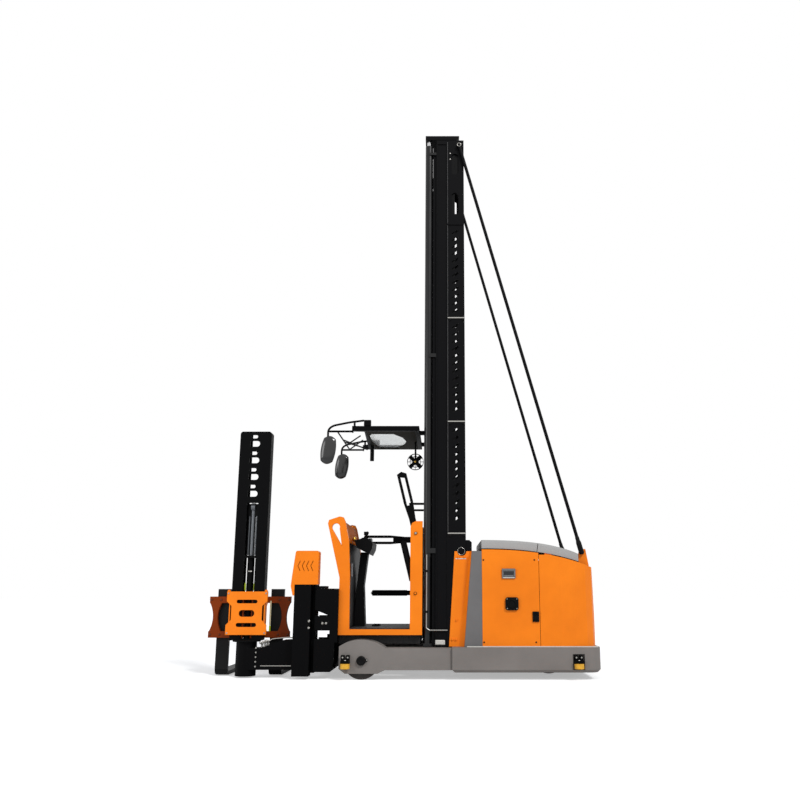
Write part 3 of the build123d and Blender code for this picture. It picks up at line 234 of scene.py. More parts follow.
# %% Bare metals
def bare_metal(name, hex_colour, roughness, stretch=(1, 1, 1), grain_mm=8.0):
    """Polished, drawn or forged steel with streaks stretched along one direction."""
    material, tree, output, place = new_material(name)
    stretched = add(tree, "Mapping", Vector=place, Scale=stretch)
    streaks = add(
        tree, "TexNoise", Vector=stretched.outputs["Vector"], Scale=per_metre(grain_mm), Detail=4.0,
        Roughness=0.6)
    base = linear(hex_colour)
    tone = add(
        tree, "Mix", {"data_type": "RGBA"}, in0=streaks.outputs["Fac"], in6=toned(base, 0.72), in7=base)
    rough = add(
        tree, "MapRange", Value=streaks.outputs["Fac"], From_Min=0.3, From_Max=0.7,
        To_Min=roughness * 0.8, To_Max=roughness * 1.3)
    shader = add(
        tree, "BsdfPrincipled", Base_Color=tone.outputs[2], Roughness=rough.outputs["Result"], Metallic=1.0)
    tree.links.new(shader.outputs["BSDF"], output.inputs["Surface"])
    return material


zinc_and_highlight_steel = bare_metal("zinc_plated_steel_and_painted_highlights", "#b8b6b0", 0.32)
drawn_pipe = bare_metal("drawn_steel_pipe", "#a9a8a4", 0.28, stretch=(1, 1, 0.05))
hard_chrome = bare_metal("hard_chrome_rod", "#d5d5d6", 0.10, stretch=(1, 1, 0.05))
brass_metal = bare_metal("polished_brass_knob", "#c9a04a", 0.22)
oiled_steel = bare_metal("oiled_steel_pipe", "#6d7074", 0.38)
cast_iron = bare_metal("machined_cast_iron", "#4a4846", 0.48, grain_mm=3.0)
print("bare metals", zinc_and_highlight_steel.name, drawn_pipe.name, hard_chrome.name, brass_metal.name, cast_iron.name)

# %% [markdown]
# Small steel parts are blackened or painted, and the same coat serves for them. The forks' black is thin and
# rubs through at the edges soonest. The lift tubes have the glossiest coat on the truck.

# %% Coated small parts, forks and lift tubes
black_oxide = powder_coat("black_oxide_steel", "#060607", "#55504a", 0.4, dust=0.02, gloss=0.12)
anchor_green = powder_coat("yellow_green_chain_anchor", "#b9cf22", "#6a7020", 0.4)
cream_paint = powder_coat("cream_enamel", "#cfcaa8", "#6a645c", 0.45)
fork_bolt = powder_coat("brown_bolt_coat", "#5a2a10", "#2a1a10", 0.45, dust=0.03)
gloss_black = powder_coat("gloss_black_coat", "#0c0c0d", "#3a3836", 0.3, dust=0.02, gloss=0.35)
forged_steel = powder_coat("forged_fork_black", "#0e0e0e", "#6a645c", 0.5, dust=0.04, wear=0.8, gloss=0.15)
print("coated parts", black_oxide.name, forged_steel.name, gloss_black.name)

# %% [markdown]
# The wheels run on cast polyurethane: hard, slightly waxy, dark brown on the wheels and yellow on the
# rollers. The floor of the cab is a rubber mat with broad ribs about 38 mm apart. The wave texture makes
# one rib in each 2 pi / 20 of its scaled length.


# %% Elastomers
RIB_MM = 37.7


def polyurethane(name, hex_colour, roughness):
    """Cast polyurethane with scuffs round the tread."""
    material, tree, output, place = new_material(name)
    scuff = add(tree, "TexNoise", Vector=place, Scale=per_metre(30), Detail=6.0, Roughness=0.65)
    base = linear(hex_colour)
    tone = add(tree, "ValToRGB", Fac=scuff.outputs["Fac"])
    tone.color_ramp.elements[0].position = 0.35
    tone.color_ramp.elements[0].color = toned(base, 0.7)
    tone.color_ramp.elements[1].position = 0.65
    tone.color_ramp.elements[1].color = base
    bump = add(tree, "Bump", Height=scuff.outputs["Fac"], Strength=0.2, Distance=0.0008)
    shader = add(
        tree, "BsdfPrincipled", Base_Color=tone.outputs["Color"], Roughness=roughness,
        Normal=bump.outputs["Normal"], Specular_IOR_Level=0.4)
    tree.links.new(shader.outputs["BSDF"], output.inputs["Surface"])
    return material


def ribbed_mat():
    """Ribbed rubber: straight ribs across the floor, with patches of dust."""
    material, tree, output, place = new_material("ribbed_rubber_mat")
    rib_scale = per_metre(RIB_MM) * 2 * pi / 20
    ribs = add(tree, "TexWave", {"bands_direction": "X"}, Vector=place, Scale=rib_scale)
    dust = add(tree, "TexNoise", Vector=place, Scale=per_metre(90), Detail=5.0)
    tone = add(
        tree, "Mix", {"data_type": "RGBA"}, in0=dust.outputs["Fac"], in6=linear("#060607"),
        in7=linear("#19191a"))
    bump = add(tree, "Bump", Height=ribs.outputs["Fac"], Strength=0.6, Distance=0.002)
    shader = add(
        tree, "BsdfPrincipled", Base_Color=tone.outputs[2], Roughness=0.7, Normal=bump.outputs["Normal"])
    tree.links.new(shader.outputs["BSDF"], output.inputs["Surface"])
    return material


tread_brown = polyurethane("dark_cast_polyurethane", "#2a2420", 0.55)
roller_yellow = polyurethane("yellow_cast_polyurethane", "#f0b432", 0.40)
rubber_mat = ribbed_mat()
print("elastomers", tread_brown.name, roller_yellow.name, rubber_mat.name)

# %% [markdown]
# The roof window is a polycarbonate sheet that looks milky against the sky.


# %% Clear sheet
def clear_sheet():
    """Pale polycarbonate: white and glossy, with most of the light coming through."""
    material, tree, output, place = new_material("milky_polycarbonate")
    haze = add(tree, "TexNoise", Vector=place, Scale=per_metre(180), Detail=3.0)
    tone = add(
        tree, "Mix", {"data_type": "RGBA"}, in0=haze.outputs["Fac"], in6=linear("#dfe2e3"),
        in7=linear("#f2f4f3"))
    shader = add(
        tree, "BsdfPrincipled", Base_Color=tone.outputs[2], Roughness=0.10, Transmission_Weight=0.85,
        IOR=1.05)
    tree.links.new(shader.outputs["BSDF"], output.inputs["Surface"])
    return material


roof_sheet = clear_sheet()
print("roof sheet", roof_sheet.name)

# %% [markdown]
# Each carried-over CAD node keeps its mesh and takes the finish of the real piece.

# %% Finishes of the CAD nodes
finishes = {
    orange_coat: [
        "door_left", "door_right", "rear_shell", "mast_brackets", "stay_posts", "cab_side_left",
        "cab_side_right", "head_cover", "fork_guard"],
    carriage_shaded_coat: ["fork_carriage"],
    front_panel_shaded_coat: ["cab_front_panel"],
    chassis_coat: ["chassis_skirt", "arm_left", "arm_right", "drive_ring"],
    grey_enamel_and_highlight_coat: ["front_wall"],
    mast_coat: ["outer_mast", "mast_side_plates", "mast_stays", "inner_mast"],
    frame_coat: [
        "cab_carriage", "overhead_guard", "gate_high_left", "gate_high_right", "gate_low_left",
        "gate_low_right", "traverse_frame", "traverse_carriage", "mini_mast", "mini_cylinder",
        "roller_holders"],
    hood_plastic: ["hood_lid", "hood_rear"],
    black_plastic: ["console", "fan", "work_lamp", "charge_panel"],
    gloss_black: ["lift_tubes"],
    mirror_shell: ["mirrors"],
    panel_plastic: ["roof_panel"],
    case_plastic: ["battery"],
    drawn_pipe: ["steel_pipe"],
    hard_chrome: ["lift_rods"],
    oiled_steel: ["mini_rod"],
    black_oxide: ["load_axles"],
    cast_iron: ["load_hub_left", "load_hub_right", "drive_unit", "drive_hub"],
    forged_steel: ["fork_front", "fork_rear"],
    tread_brown: ["load_tyre_left", "load_tyre_right", "drive_tyre"],
    roller_yellow: [
        "guide_roller_front_left", "guide_roller_front_right", "guide_roller_rear_left",
        "guide_roller_rear_right"],
    rubber_mat: ["cab_floor"],
    roof_sheet: ["roof_window"],
}
for finish, names in finishes.items():
    for name in names:
        nodes[name].data.materials.clear()
        nodes[name].data.materials.append(finish)
dressed = sum(len(names) for names in finishes.values())
print("finished", dressed, "of", len(nodes), "nodes")

# %% [markdown]
# Small pieces are grown in mesh code. Each call adds one form to the mesh of a named piece, in millimetres.
# When all are grown, one loop turns every mesh into an object that rides on its CAD body.

# %% Mesh helpers
MM = 0.001
grown = {}


def grow(name, body, finish):
    """The mesh under way of a piece, begun at its first use."""
    if name not in grown:
        grown[name] = (bmesh.new(), body, finish)
    return grown[name][0]


def aimed(place, axis):
    """The matrix that moves the origin to a place in mm and turns +Z to an axis."""
    turn = Vector(axis).to_track_quat("Z", "Y").to_matrix().to_4x4()
    return Matrix.Translation(Vector(place) * MM) @ turn


def skin(mesh, rings):
    """Faces between one ring of vertices and the next, with a cap at each end."""
    sides = len(rings[0])
    for low, high in zip(rings, rings[1:]):
        for i in range(sides):
            j = (i + 1) % sides
            mesh.faces.new((low[i], low[j], high[j], high[i]))
    mesh.faces.new(rings[0][::-1])
    mesh.faces.new(rings[-1])


def lathe(mesh, place, axis, profile, sides=24):
    """A turned form: (radius, height) pairs in mm, spun round an axis through the place."""
    matrix = aimed(place, axis)
    turns = [2 * pi * i / sides for i in range(sides)]
    rings = []
    for radius, height in profile:
        spots = [Vector((radius * MM * cos(t), radius * MM * sin(t), height * MM)) for t in turns]
        rings.append([mesh.verts.new(matrix @ spot) for spot in spots])
    skin(mesh, rings)


def slab(mesh, low, high, soft=1.5):
    """A block between two corners in mm, with rounded edges."""
    size = [b - a for a, b in zip(low, high)]
    middle = [(a + b) / 2 for a, b in zip(low, high)]
    matrix = Matrix.Translation(Vector(middle) * MM) @ Matrix.Diagonal((*[s * MM for s in size], 1))
    made = bmesh.ops.create_cube(mesh, size=1.0, matrix=matrix)
    edges = {edge for vertex in made["verts"] for edge in vertex.link_edges}
    offset = min(soft, min(size) / 3) * MM
    bmesh.ops.bevel(mesh, geom=list(edges), offset=offset, segments=2, affect="EDGES")


def side_slab(mesh, side, low, high, soft=1.5):
    """A slab given for the left side, which moves to the right where side is -1."""
    y0, y1 = sorted((side * low[1], side * high[1]))
    slab(mesh, (low[0], y0, low[2]), (high[0], y1, high[2]), soft)


def pipe(mesh, points, radius, sides=14):
    """A bent pipe through points in mm, whose corners are eased over three radii."""
    path = [Vector(points[0])]
    for before, corner, after in zip(points, points[1:], points[2:]):
        corner = Vector(corner)
        back = Vector(before) - corner
        ahead = Vector(after) - corner
        ease = min(3 * radius, back.length / 2, ahead.length / 2)
        start = corner + back.normalized() * ease
        end = corner + ahead.normalized() * ease
        for i in range(5):
            t = i / 4
            path.append(start.lerp(corner, t).lerp(corner.lerp(end, t), t))
    path.append(Vector(points[-1]))
    turns = [2 * pi * k / sides for k in range(sides)]
    rings = []
    side = (path[1] - path[0]).orthogonal().normalized()
    for i, point in enumerate(path):
        along = (path[min(i + 1, len(path) - 1)] - path[max(i - 1, 0)]).normalized()
        side = (side - along * side.dot(along)).normalized()
        up = along.cross(side)
        rings.append([mesh.verts.new((point + (side * cos(t) + up * sin(t)) * radius) * MM) for t in turns])
    skin(mesh, rings)


def prism(mesh, outline, y0, y1):
    """A plate whose outline of (x, z) points in mm is drawn out along Y."""
    rings = [[mesh.verts.new(Vector((x, y, z)) * MM) for x, z in outline] for y in (y0, y1)]
    mesh.faces.new(rings[0])
    mesh.faces.new(rings[1][::-1])
    for i in range(len(outline)):
        j = (i + 1) % len(outline)
        mesh.faces.new((rings[0][j], rings[0][i], rings[1][i], rings[1][j]))


def hoop(mesh, place, radius, wire, steps=40, sides=8):
    """A ring of round wire that faces along Y."""
    rings = []
    for i in range(steps):
        turn = 2 * pi * i / steps
        ring = []
        for k in range(sides):
            around = 2 * pi * k / sides
            reach = radius + wire * cos(around)
            offset = Vector((reach * cos(turn), wire * sin(around), reach * sin(turn)))
            ring.append(mesh.verts.new((Vector(place) + offset) * MM))
        rings.append(ring)
    for low, high in zip(rings, rings[1:] + rings[:1]):
        for k in range(sides):
            after = (k + 1) % sides
            mesh.faces.new((low[k], low[after], high[after], high[k]))


def bolt(mesh, place, axis, across=24.0):
    """A hexagon head on its washer, with the chamfer that a real head has."""
    half = across / 2
    lathe(mesh, place, axis, [(half * 1.25, 0), (half * 1.25, 1.6), (half * 1.15, 2.2)], 28)
    lathe(mesh, place, axis, [(half * 1.1, 2.2), (half * 1.1, half * 1.1), (half * 0.92, half * 1.3)], 6)


def button(mesh, place, axis, radius):
    """A round-headed screw or a push button with a domed top."""
    dome = ((1, 0), (1, 0.25), (0.86, 0.5), (0.4, 0.62))
    lathe(mesh, place, axis, [(radius * reach, radius * height) for reach, height in dome], 20)


print("mesh helpers ready")

# %% [markdown]
# The small pieces sit on the plates of the CAD model, so its main sizes are repeated here in millimetres.
# X points forwards to the fork head, Y to the truck's left and Z up.

# %% Places on the truck
BODY_Y = 700
SKIRT_Z = 306
BAY_Z = (3740, 2590, 1420)
MAST_Y = 600
STAY_TOP = (-607, 620, 5805)
STAY_FOOT = (-1835, 606, 1232)
ROLLER_X = (527, -1749)
WHEEL_X = 375
WHEEL_Z = 180
PANEL_FACE_Y = 711
CAB_Y = 600
GATE_X = -145
HIGH_GATE_Z = 1420
LOW_GATE_Z = 820
ROOF_Z = 2541
FAN = (-112, 2262)
FAN_Y = (-64, -98)
MIRROR_Y = 590
HEAD_X = 1566
HEAD_Y = 440
ARM_Y = 540
CARRIAGE_Y = 374
MINI_TOP = 2500
SLOT_PITCH = 177
print("the fork head turns about x", HEAD_X, "y", HEAD_Y)

# %% [markdown]
# The orange side panels hang on round-headed screws. The foot brackets are bolted through the mast's foot.
# The mast's bay flanges carry thin bright strips along their edges, which are painted highlights, and a pale
# nylon block guides the hoses at the foot.

# %% Chassis and mast pieces
for side in (1, -1):
    out = (0, side, 0)
    for x in (-830, -1343):
        for z in (1148, 352):
            button(grow("panel_screws", "chassis", black_oxide), (x, side * BODY_Y, z), out, 8)
    for z in BAY_Z:
        # Bright strips on the flange edges: painted highlights.
        edge = grow("mast_flange_edges", "chassis", zinc_and_highlight_steel)
        side_slab(edge, side, (-657, MAST_Y + 7, z - 6), (-474, MAST_Y + 9.5, z + 6))
        for x in (-640, -500):
            bolt(grow("mast_flange_bolts", "chassis", black_oxide), (x, side * MAST_Y, z - 24), out, 18)
    for x, z in ((-518, 372), (-555, 372), (-560, 560), (-640, 1180), (-580, 1180)):
        bolt(grow("bracket_bolts", "chassis", orange_coat), (x, side * (MAST_Y + 12), z), out, 20)
    for x0, x1 in ((-618, -595), (-557, -512)):
        guards = grow("cable_guards", "chassis", black_oxide)
        side_slab(guards, side, (x0, MAST_Y - 20, 1500), (x1, MAST_Y - 14, 5725), 1)
    hoop(grow("notch_rings", "chassis", zinc_and_highlight_steel), (-611, side * (MAST_Y + 2), 1240), 37, 1.8)
    trim = grow("bracket_trim", "chassis", nylon_white)
    side_slab(trim, side, (-660, MAST_Y + 11, 1159), (-552, MAST_Y + 14, 1169), 1)
    # A thin grey strip down each rail's edge is a painted highlight on the black mast.
    rail_edge = grow("rail_edges", "chassis", grey_enamel_and_highlight_coat)
    side_slab(rail_edge, side, (-478, MAST_Y - 1, 1430), (-474, MAST_Y + 2, 5860), 1)
    for z in (5715, 5640):
        button(grow("head_screws", "chassis", zinc_and_highlight_steel), (-505, side * MAST_Y, z), out, 8)
    top = Vector((STAY_TOP[0], side * STAY_TOP[1], STAY_TOP[2]))
    foot = Vector((STAY_FOOT[0], side * STAY_FOOT[1], STAY_FOOT[2]))
    hoop(grow("stay_rings", "chassis", zinc_and_highlight_steel), (top.x, side * 638, top.z), 20, 4)
    clevis = [(22, -22), (27, -8), (27, 95), (21, 120), (21, 150), (18, 160)]
    lathe(grow("stay_clevises", "chassis", black_oxide), foot, top - foot, clevis, 20)
    # A white strip along the top of the skirt is a painted highlight on its top ledge.
    seal = grow("skirt_seal", "chassis", nylon_white)
    side_slab(seal, side, (-1950, BODY_Y, SKIRT_Z - 1), (-660, BODY_Y + 8, SKIRT_Z + 9), 1)
    guide = grow("hose_guide_block", "chassis", nylon_white)
    side_slab(guide, side, (-445, MAST_Y - 7, 322), (-348, MAST_Y + 6, 368), 3)
    for z in (331, 340, 349, 358):
        side_slab(guide, side, (-440, MAST_Y + 5, z - 2), (-353, MAST_Y + 8, z + 2), 1)
    for x in ROLLER_X:
        for lobe in (-25, 25):
            button(grow("roller_bolts", "chassis", zinc_and_highlight_steel), (x + lobe, side * 761, 212), out, 9)
        button(grow("roller_caps", "chassis", zinc_and_highlight_steel), (x, side * 769, 184), (0, 0, 1), 11)
    cap = [(44, 0), (44, 3), (40, 6), (22, 6), (20, 3), (4, 3)]
    lathe(grow("axle_caps", "chassis", black_oxide), (WHEEL_X, side * 742, WHEEL_Z), out, cap, 36)
    lock = grow("axle_locks", "chassis", black_oxide)
    side_slab(lock, side, (WHEEL_X - 63, 720, WHEEL_Z - 8), (WHEEL_X - 41, 738, WHEEL_Z + 18), 3)
    pin_place = (WHEEL_X - 57, side * 738, WHEEL_Z + 7)
    button(grow("axle_lock_pins", "chassis", zinc_and_highlight_steel), pin_place, out, 7)
slab(grow("head_cable_box", "chassis", black_oxide), (-612, 560, 5430), (-508, 578, 5735), 4)
for z in (1040, 640):
    slab(grow("pipe_clips", "chassis", black_oxide), (-274, 588, z - 12), (-246, 622, z + 12), 2)
print("chassis pieces", sorted(grown))

# %% [markdown]
# The left side panel carries a charge display, a socket under it, and a sunk latch at the seam.

# %% Charge display, socket and latch
left = (0, 1, 0)
y0, y1 = PANEL_FACE_Y, PANEL_FACE_Y + 5
bezel = grow("display_bezel", "chassis", grey_plastic)
for x0, x1, z0, z1 in (
        (-1150, -1015, 1040, 1062), (-1150, -1015, 966, 985), (-1150, -1134, 984, 1041),
        (-1031, -1015, 984, 1041)):
    slab(bezel, (x0, y0, z0), (x1, y1, z1), 2)
slab(grow("display_glass", "chassis", grey_plastic), (-1135, y0 - 3, 984), (-1030, y0, 1041), 1)
slab(grow("display_screen", "chassis", dark_glass), (-1130, y0, 1000), (-1036, y0 + 2, 1034), 1)
slab(grow("display_label_strip", "chassis", nylon_white), (-1142, y0 + 3, 969), (-1024, y0 + 7, 977), 1)
socket = grow("socket_ring", "chassis", black_plastic)
socket_y = BODY_Y + 19
lathe(socket, (-1110, socket_y, 720), left, [(44, 0), (44, 5), (40, 8), (33, 8), (31, 2), (6, 2)], 40)
for x, z in ((-1158, 766), (-1062, 766), (-1158, 674), (-1062, 674)):
    button(grow("socket_screws", "chassis", zinc_and_highlight_steel), (x, socket_y, z), left, 5)
latch = grow("latch_lever", "chassis", black_plastic)
latch_y = BODY_Y + 13
slab(latch, (-1366, latch_y, 560), (-1324, latch_y + 5, 600), 3)
for z in (612, 620, 628):
    slab(latch, (-1366, latch_y, z - 2), (-1324, latch_y + 4, z + 2), 1)
print("panel pieces done")

# %% [markdown]
# Inside the cab are the things an operator touches: a brass knob, a display, push buttons, a lever and
# two pedals.

# %% Desk, pedals and front wall
brass = grow("knob_cap", "cab", brass_metal)
lathe(brass, (512, 230, 1376), (1, 0.3, 0.6), [(25, 0), (27, 8), (27, 18), (22, 27), (10, 32), (2, 33)], 28)
controls = grow("desk_controls", "cab", black_plastic)
desk_up = Vector((-53, 0, 78)).normalized()
slab(grow("desk_display", "cab", dark_glass), (352, -110, 1377), (392, 40, 1402), 3)
lever = [(20, -4), (20, 6), (7, 16), (6, 58), (15, 66), (17, 84), (9, 96)]
lathe(controls, (440, 120, 1388), desk_up, lever, 24)
for i in range(6):
    button(grow("desk_buttons", "cab", roller_yellow), (430, -60 - i * 28, 1392), desk_up, 8)
for y in (-70, 60):
    pedal = grow("floor_pedals", "cab", rubber_grip)
    slab(pedal, (250, y - 45, 481), (330, y + 45, 496), 4)
    for i in range(5):
        slab(pedal, (258 + i * 14, y - 40, 495), (264 + i * 14, y + 40, 499), 1)
for side in (1, -1):
    cap_y = side * (CAB_Y + 10)
    button(grow("gate_pin_caps", "cab", zinc_and_highlight_steel), (GATE_X, cap_y, HIGH_GATE_Z), (0, side, 0), 12)
    button(grow("gate_pin_covers", "cab", orange_coat), (GATE_X, cap_y, LOW_GATE_Z), (0, side, 0), 11)
# A black sheet on the inner face of the front wall is painted shade, where the wall lay in shadow.
shade_sheet = grow("front_wall_painted_shade", "cab", black_plastic)
prism(shade_sheet, [(513, 484), (517, 1010), (521, 1010), (518, 484)], -552, 552)
prism(shade_sheet, [(517, 1012), (540, 1330), (544, 1330), (521, 1012)], -552, 552)
slab(grow("front_wall_grey_pad", "cab", grey_plastic), (500, 500, 985), (516, 552, 1120), 4)
print("desk and pedals done")

# %% [markdown]
# A wire cage closes round the fan. The mirrors get eased tubes and full, rounded shells, and thin bars cross
# between their frames in front of the roof. The low gates carry rubber pads with a row of studs.

# %% Fan, mirrors and gate pads
FAN_RIM = 90
cage = grow("fan_cage", "cab", black_plastic)
for y in FAN_Y:
    middle = Vector((FAN[0], y, FAN[1]))
    for radius in (30, 60, FAN_RIM):
        hoop(cage, middle, radius, 2.5)
    for i in range(12):
        turn = pi * i / 6
        reach = Vector((cos(turn), 0, sin(turn)))
        pipe(cage, [middle + reach * 24, middle + reach * FAN_RIM], 1.8, 6)
for i in range(8):
    turn = pi * (i + 0.5) / 4
    rim = Vector((FAN[0] + FAN_RIM * cos(turn), 0, FAN[1] + FAN_RIM * sin(turn)))
    pipe(cage, [rim + Vector((0, y, 0)) for y in FAN_Y], 2.5, 6)
button(grow("fan_hub", "cab", brass_metal), (FAN[0], FAN_Y[0], FAN[1]), (0, 1, 0), 15)
for side in (1, -1):
    y = side * MIRROR_Y
    frames = grow("mirror_frames", "cab", frame_coat)
    bends = [(411, 60), (560, 41), (740, 4), (788, -36), (788, -141)]
    pipe(frames, [(x, y, ROOF_Z + rise) for x, rise in bends], 11)
    pipe(frames, [(521, y, ROOF_Z - 57), (788, y, ROOF_Z - 57)], 11)
    pipe(frames, [(510, y, ROOF_Z), (510, y, ROOF_Z + 49)], 11)
    slab(frames, (336, y - 20, ROOF_Z), (411, y + 20, ROOF_Z + 64), 4)
    slab(frames, (521, y - 16, ROOF_Z - 71), (535, y + 16, ROOF_Z), 2)
    # The shell is a sphere pushed out towards a rounded box, then tipped by 7 degrees
    heads = grow("mirror_heads", "cab", mirror_shell)
    place = Matrix.Translation(Vector((781, y, 2286)) * MM) @ Matrix.Rotation(radians(-7), 4, "Y")
    shell = bmesh.ops.create_uvsphere(heads, u_segments=40, v_segments=28, radius=1.0)["verts"]
    for vertex in shell:
        x, depth, z = vertex.co
        fullness = max(max(abs(x), abs(z)) ** 0.35, 0.5)
        vertex.co = place @ Vector((x * 0.079 / fullness, depth * 0.029, z * 0.150 / fullness))
lattice = grow("mirror_lattice", "cab", black_plastic)
bars = (((690, 590), (690, -590)), ((690, 90), (480, -560)), ((690, -250), (475, 330)),
        ((690, -560), (475, 60)), ((690, -60), (475, -500)))
for start, end in bars:
    pipe(lattice, [(*start, ROOF_Z - 57), (*end, ROOF_Z - 57)], 8, 8)
for body, side, raised in (("gate_b", 1, 76), ("gate_d", -1, 0)):
    pad = grow("low_gate_pad_" + body[-1], body, rubber_grip)
    side_slab(pad, side, (-20, 531, LOW_GATE_Z - 32), (392, 555, LOW_GATE_Z + 32), 12)
    for i in range(9):
        button(pad, (10 + i * 44, side * 554, LOW_GATE_Z), (0, side, 0), 5)
    pin = Matrix.Translation(Vector((GATE_X, 0, LOW_GATE_Z)) * MM)
    swing = pin @ Matrix.Rotation(radians(-raised), 4, "Y") @ pin.inverted()
    bmesh.ops.transform(pad, matrix=swing, verts=pad.verts)
print("cab pieces done")

# %% [markdown]
# The fork head has bright bolts down the swivel post, hydraulic fittings on the arm, and two chains with
# yellow-green anchors beside the lift cylinder.

# %% Bolts, fittings and pipes of the fork head
for body, x, y, z in (
        ("traverse", 905, 680, 552), ("traverse", 905, 680, 488), ("cab", 777, 640, 530),
        ("cab", 741, 640, 530)):
    bolt(grow(f"{body}_head_bolts", body, zinc_and_highlight_steel), (x, y, z), (0, 1, 0), 18)
for z in (288, 245, 200, 155, 110):
    bolt(grow("swivel_row_bolts", "traverse", zinc_and_highlight_steel), (1448, ARM_Y, z), (0, 1, 0), 14)
# A bright strip along the arm's lower edge is a painted highlight.
slab(grow("arm_wear_strip", "traverse", zinc_and_highlight_steel), (1092, ARM_Y, 113), (1398, ARM_Y + 3, 120), 1)
nut = [(13, 0), (13, 12), (9, 14), (9, 24), (12, 26), (12, 38), (6, 42)]
for x, y, z in ((1398, 500, 288), (1366, 520, 297), (1334, 492, 307), (1352, 468, 303)):
    fittings = grow("hydraulic_fittings", "traverse", zinc_and_highlight_steel)
    lathe(fittings, (x, y, z), (0, 0, 1), nut, 6)
    lathe(fittings, (x, y, z + 40), (0.4, 1, 0.3), nut, 12)
bends = [(1334, 345), (1300, 372), (1150, 386), (1062, 386)]
pipe(grow("fitting_pipes", "traverse", zinc_and_highlight_steel), [(x, 492, z) for x, z in bends], 6)
print("arm pieces done")

# %% [markdown]
# A chain runs up each side of the lift cylinder, one link every inch, to the pulley block at the rod's head.

# %% Chains, carriage bolts and cylinder
LINK = 25.4
for side in (1, -1):
    chain_x = HEAD_X + side * 47
    anchor = [(6, 0), (9, 4), (9, 66), (6, 72), (6, 80), (3, 84)]
    lathe(grow("chain_anchors", "swivel", anchor_green), (chain_x, HEAD_Y, 846), (0, 0, 1), anchor, 16)
    links = grow("lift_chains", "swivel", black_oxide)
    for i in range(30):
        z = 935 + i * LINK
        slab(links, (chain_x - 3, HEAD_Y - 7, z - 15), (chain_x + 3, HEAD_Y + 7, z + 15), 2)
    for z in (409, 755):
        for x in (HEAD_X + side * 396, HEAD_X + side * 300):
            bolt(grow("carriage_bolts", "carriage", fork_bolt), (x, CARRIAGE_Y, z), (0, 1, 0), 16)
    x0, x1 = sorted((HEAD_X + side * 174, HEAD_X + side * 204))
    slab(grow("guard_ears", "carriage", orange_coat), (x0, 508, 834), (x1, 521, 856), 5)
    for z in (430, 820):
        bolt(grow("guard_bolts", "carriage", zinc_and_highlight_steel), (HEAD_X + side * 190, 522, z), (0, 1, 0), 14)
band = [(36.5, 0), (37.5, 2), (37.5, 7), (36.5, 9)]
lathe(grow("cylinder_band", "swivel", zinc_and_highlight_steel), (HEAD_X, HEAD_Y - 5, 1036), (0, 0, 1), band, 36)
scale = grow("height_scale", "carriage", cream_paint)
slab(scale, (1346, CARRIAGE_Y, 500), (1362, CARRIAGE_Y + 5, 745), 2)
scale_foot = grow("height_scale_foot", "carriage", anchor_green)
slab(scale_foot, (1346, CARRIAGE_Y, 440), (1362, CARRIAGE_Y + 5, 498), 2)
slab(grow("pulley_block", "swivel", black_plastic), (1504, 420, 1600), (1628, 452, 1736), 12)
button(grow("pulley_pin", "swivel", zinc_and_highlight_steel), (HEAD_X, 452, 1700), (0, 1, 0), 10)
for x in (HEAD_X - 38, HEAD_X + 38):
    pipe(grow("lift_pipes", "swivel", oiled_steel), [(x, 432, 1205), (x, 432, 1610)], 11)
print("lift cylinder dressed")

# %% [markdown]
# The mini mast's eight slots are square in the CAD model. A small piece in each corner rounds them off.

# %% Rounded slot corners
small_slot = {"x0": -20, "x1": 50, "half": 18, "z": MINI_TOP - 56, "low_r": 17, "high_r": 17}
large_slot = {"x0": -45, "x1": 75, "half": 31, "z": MINI_TOP - 132, "low_r": 30, "high_r": 12}
corners = grow("slot_corners", "swivel", frame_coat)
for i in range(4):
    for slot in (small_slot, large_slot):
        z = slot["z"] - i * SLOT_PITCH
        for x, sx, radius in (
                (HEAD_X + slot["x0"], 1, slot["low_r"]), (HEAD_X + slot["x1"], -1, slot["high_r"])):
            for end_z, sz in ((z - slot["half"], 1), (z + slot["half"], -1)):
                bend = []
                for k in range(7):
                    turn = pi * k / 12
                    bend.append((x + sx * radius * (1 - sin(turn)), end_z + sz * radius * (1 - cos(turn))))
                prism(corners, [(x, end_z)] + bend, 488.5, 499.8)
print("fork head pieces done")

# %% [markdown]
# Every grown mesh becomes an object. Flat faces stay flat, and turned ones are shaded smooth up to 35
# degrees. The mirrors' tubes and shells take the place of the plainer CAD node.

# %% Meshes to objects
for name, (mesh, body, finish) in grown.items():
    bmesh.ops.recalc_face_normals(mesh, faces=mesh.faces)
    data = bpy.data.meshes.new(name)
    mesh.to_mesh(data)
    mesh.free()
    data.materials.append(finish)
    data.shade_smooth()
    data.set_sharp_from_angle(angle=radians(35))
    piece = bpy.data.objects.new(name, data)
    bpy.context.scene.collection.objects.link(piece)
    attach(piece, body)
    if name in ("mirror_frames", "mirror_heads"):
        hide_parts("mirrors")
faces = sum(len(item.data.polygons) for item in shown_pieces() if item.name in grown)
print("made", len(grown), "pieces with", faces, "faces")

# %% [markdown]
# A plain pale floor keeps the truck's shadow. Towards the camera it glows a little, so it runs into the
# white sky behind without a line.

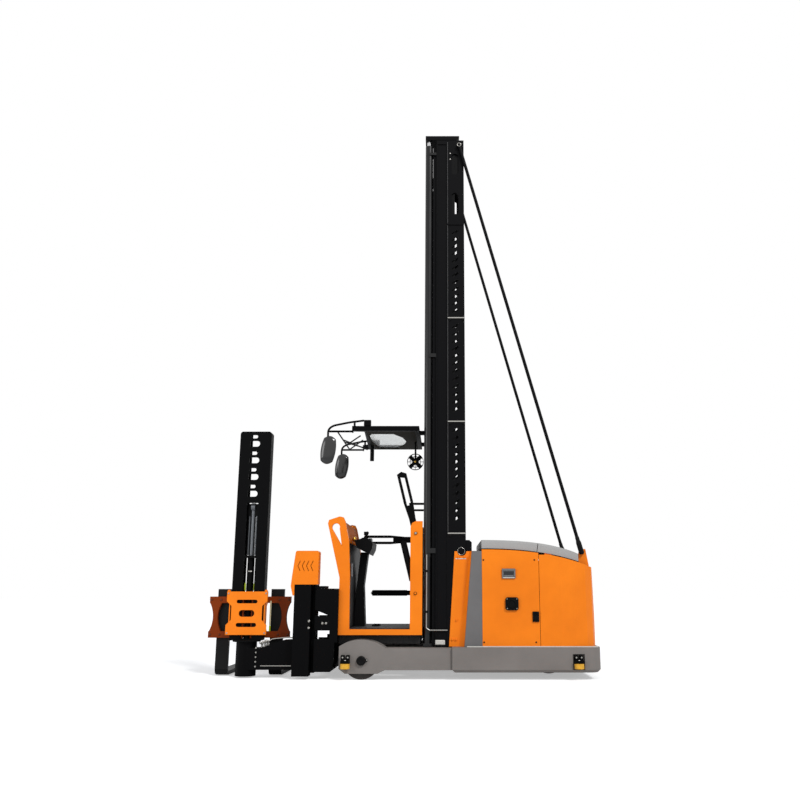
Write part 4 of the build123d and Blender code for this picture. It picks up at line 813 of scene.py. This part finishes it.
# %% Floor
FLOOR_HALF = 60.0
FLOOR_Z = -0.001
floor_material, floor_tree, floor_output, floor_place = new_material("pale_studio_floor")
floor_tone = add(floor_tree, "TexNoise", Vector=floor_place, Scale=per_metre(900))
floor_colour = add(
    floor_tree, "Mix", {"data_type": "RGBA"}, in0=floor_tone.outputs["Fac"], in6=linear("#f4f4f4"),
    in7=linear("#f8f8f8"))
floor_paint = add(floor_tree, "BsdfDiffuse", Color=floor_colour.outputs[2])
floor_glow = add(floor_tree, "Emission", Color=(1, 1, 1, 1), Strength=0.42)
floor_sum = add(floor_tree, "AddShader", in0=floor_paint.outputs["BSDF"], in1=floor_glow.outputs["Emission"])
floor_rays = add(floor_tree, "LightPath")
floor_shader = add(
    floor_tree, "MixShader", in0=floor_rays.outputs["Is Camera Ray"], in1=floor_paint.outputs["BSDF"],
    in2=floor_sum.outputs["Shader"])
floor_tree.links.new(floor_shader.outputs["Shader"], floor_output.inputs["Surface"])
floor_mesh = bpy.data.meshes.new("floor")
floor_signs = ((-1, -1), (1, -1), (1, 1), (-1, 1))
floor_corners = [(x * FLOOR_HALF, y * FLOOR_HALF, FLOOR_Z) for x, y in floor_signs]
floor_mesh.from_pydata(floor_corners, [], [(0, 1, 2, 3)])
floor_mesh.materials.append(floor_material)
floor = bpy.data.objects.new("floor", floor_mesh)
bpy.context.scene.collection.objects.link(floor)
floor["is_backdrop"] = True
print("floor", 2 * FLOOR_HALF, "m wide")

# %% [markdown]
# The sky is white to the camera, to gloss and to glass. Everything else sees a softer grey light, so
# colours come out about as they are written. A sun stands high on the truck's left, towards its rear, and a
# disk lamp fills in from the front.

# %% Sky and lamps
world = bpy.data.worlds.new("white_studio")
world.use_nodes = True
bpy.context.scene.world = world
sky = world.node_tree
sky.nodes.clear()
rays = add(sky, "LightPath")
seen = add(
    sky, "Math", {"operation": "MAXIMUM"}, in0=rays.outputs["Is Camera Ray"],
    in1=rays.outputs["Is Glossy Ray"])
direct = add(
    sky, "Math", {"operation": "MAXIMUM"}, in0=seen.outputs["Value"],
    in1=rays.outputs["Is Transmission Ray"])
white = add(sky, "Background", Color=(1, 1, 1, 1), Strength=1.0)
soft = add(sky, "Background", Color=(0.92, 0.95, 1, 1), Strength=0.42)
both = add(
    sky, "MixShader", in0=direct.outputs["Value"], in1=soft.outputs["Background"],
    in2=white.outputs["Background"])
world_output = add(sky, "OutputWorld")
sky.links.new(both.outputs["Shader"], world_output.inputs["Surface"])


def lamp(name, kind, energy, place, aim, size):
    """A lamp that looks at a point. Size is a disk's width in metres, or a sun's angle in degrees."""
    data = bpy.data.lights.new(name, kind)
    data.energy = energy
    if kind == "AREA":
        data.shape = "DISK"
        data.size = size
    else:
        data.angle = radians(size)
    item = bpy.data.objects.new(name, data)
    item.location = place
    direction = Vector(aim) - Vector(place)
    item.rotation_euler = direction.to_track_quat("-Z", "Y").to_euler()
    bpy.context.scene.collection.objects.link(item)
    return item


AIM = (0, 0, 1.5)
lamp("sun", "SUN", 1.66, (-6.0, 9.0, 11.0), AIM, 12)
lamp("fill", "AREA", 205, (7.0, 7.0, 4.0), AIM, 5)
print("stage ready")
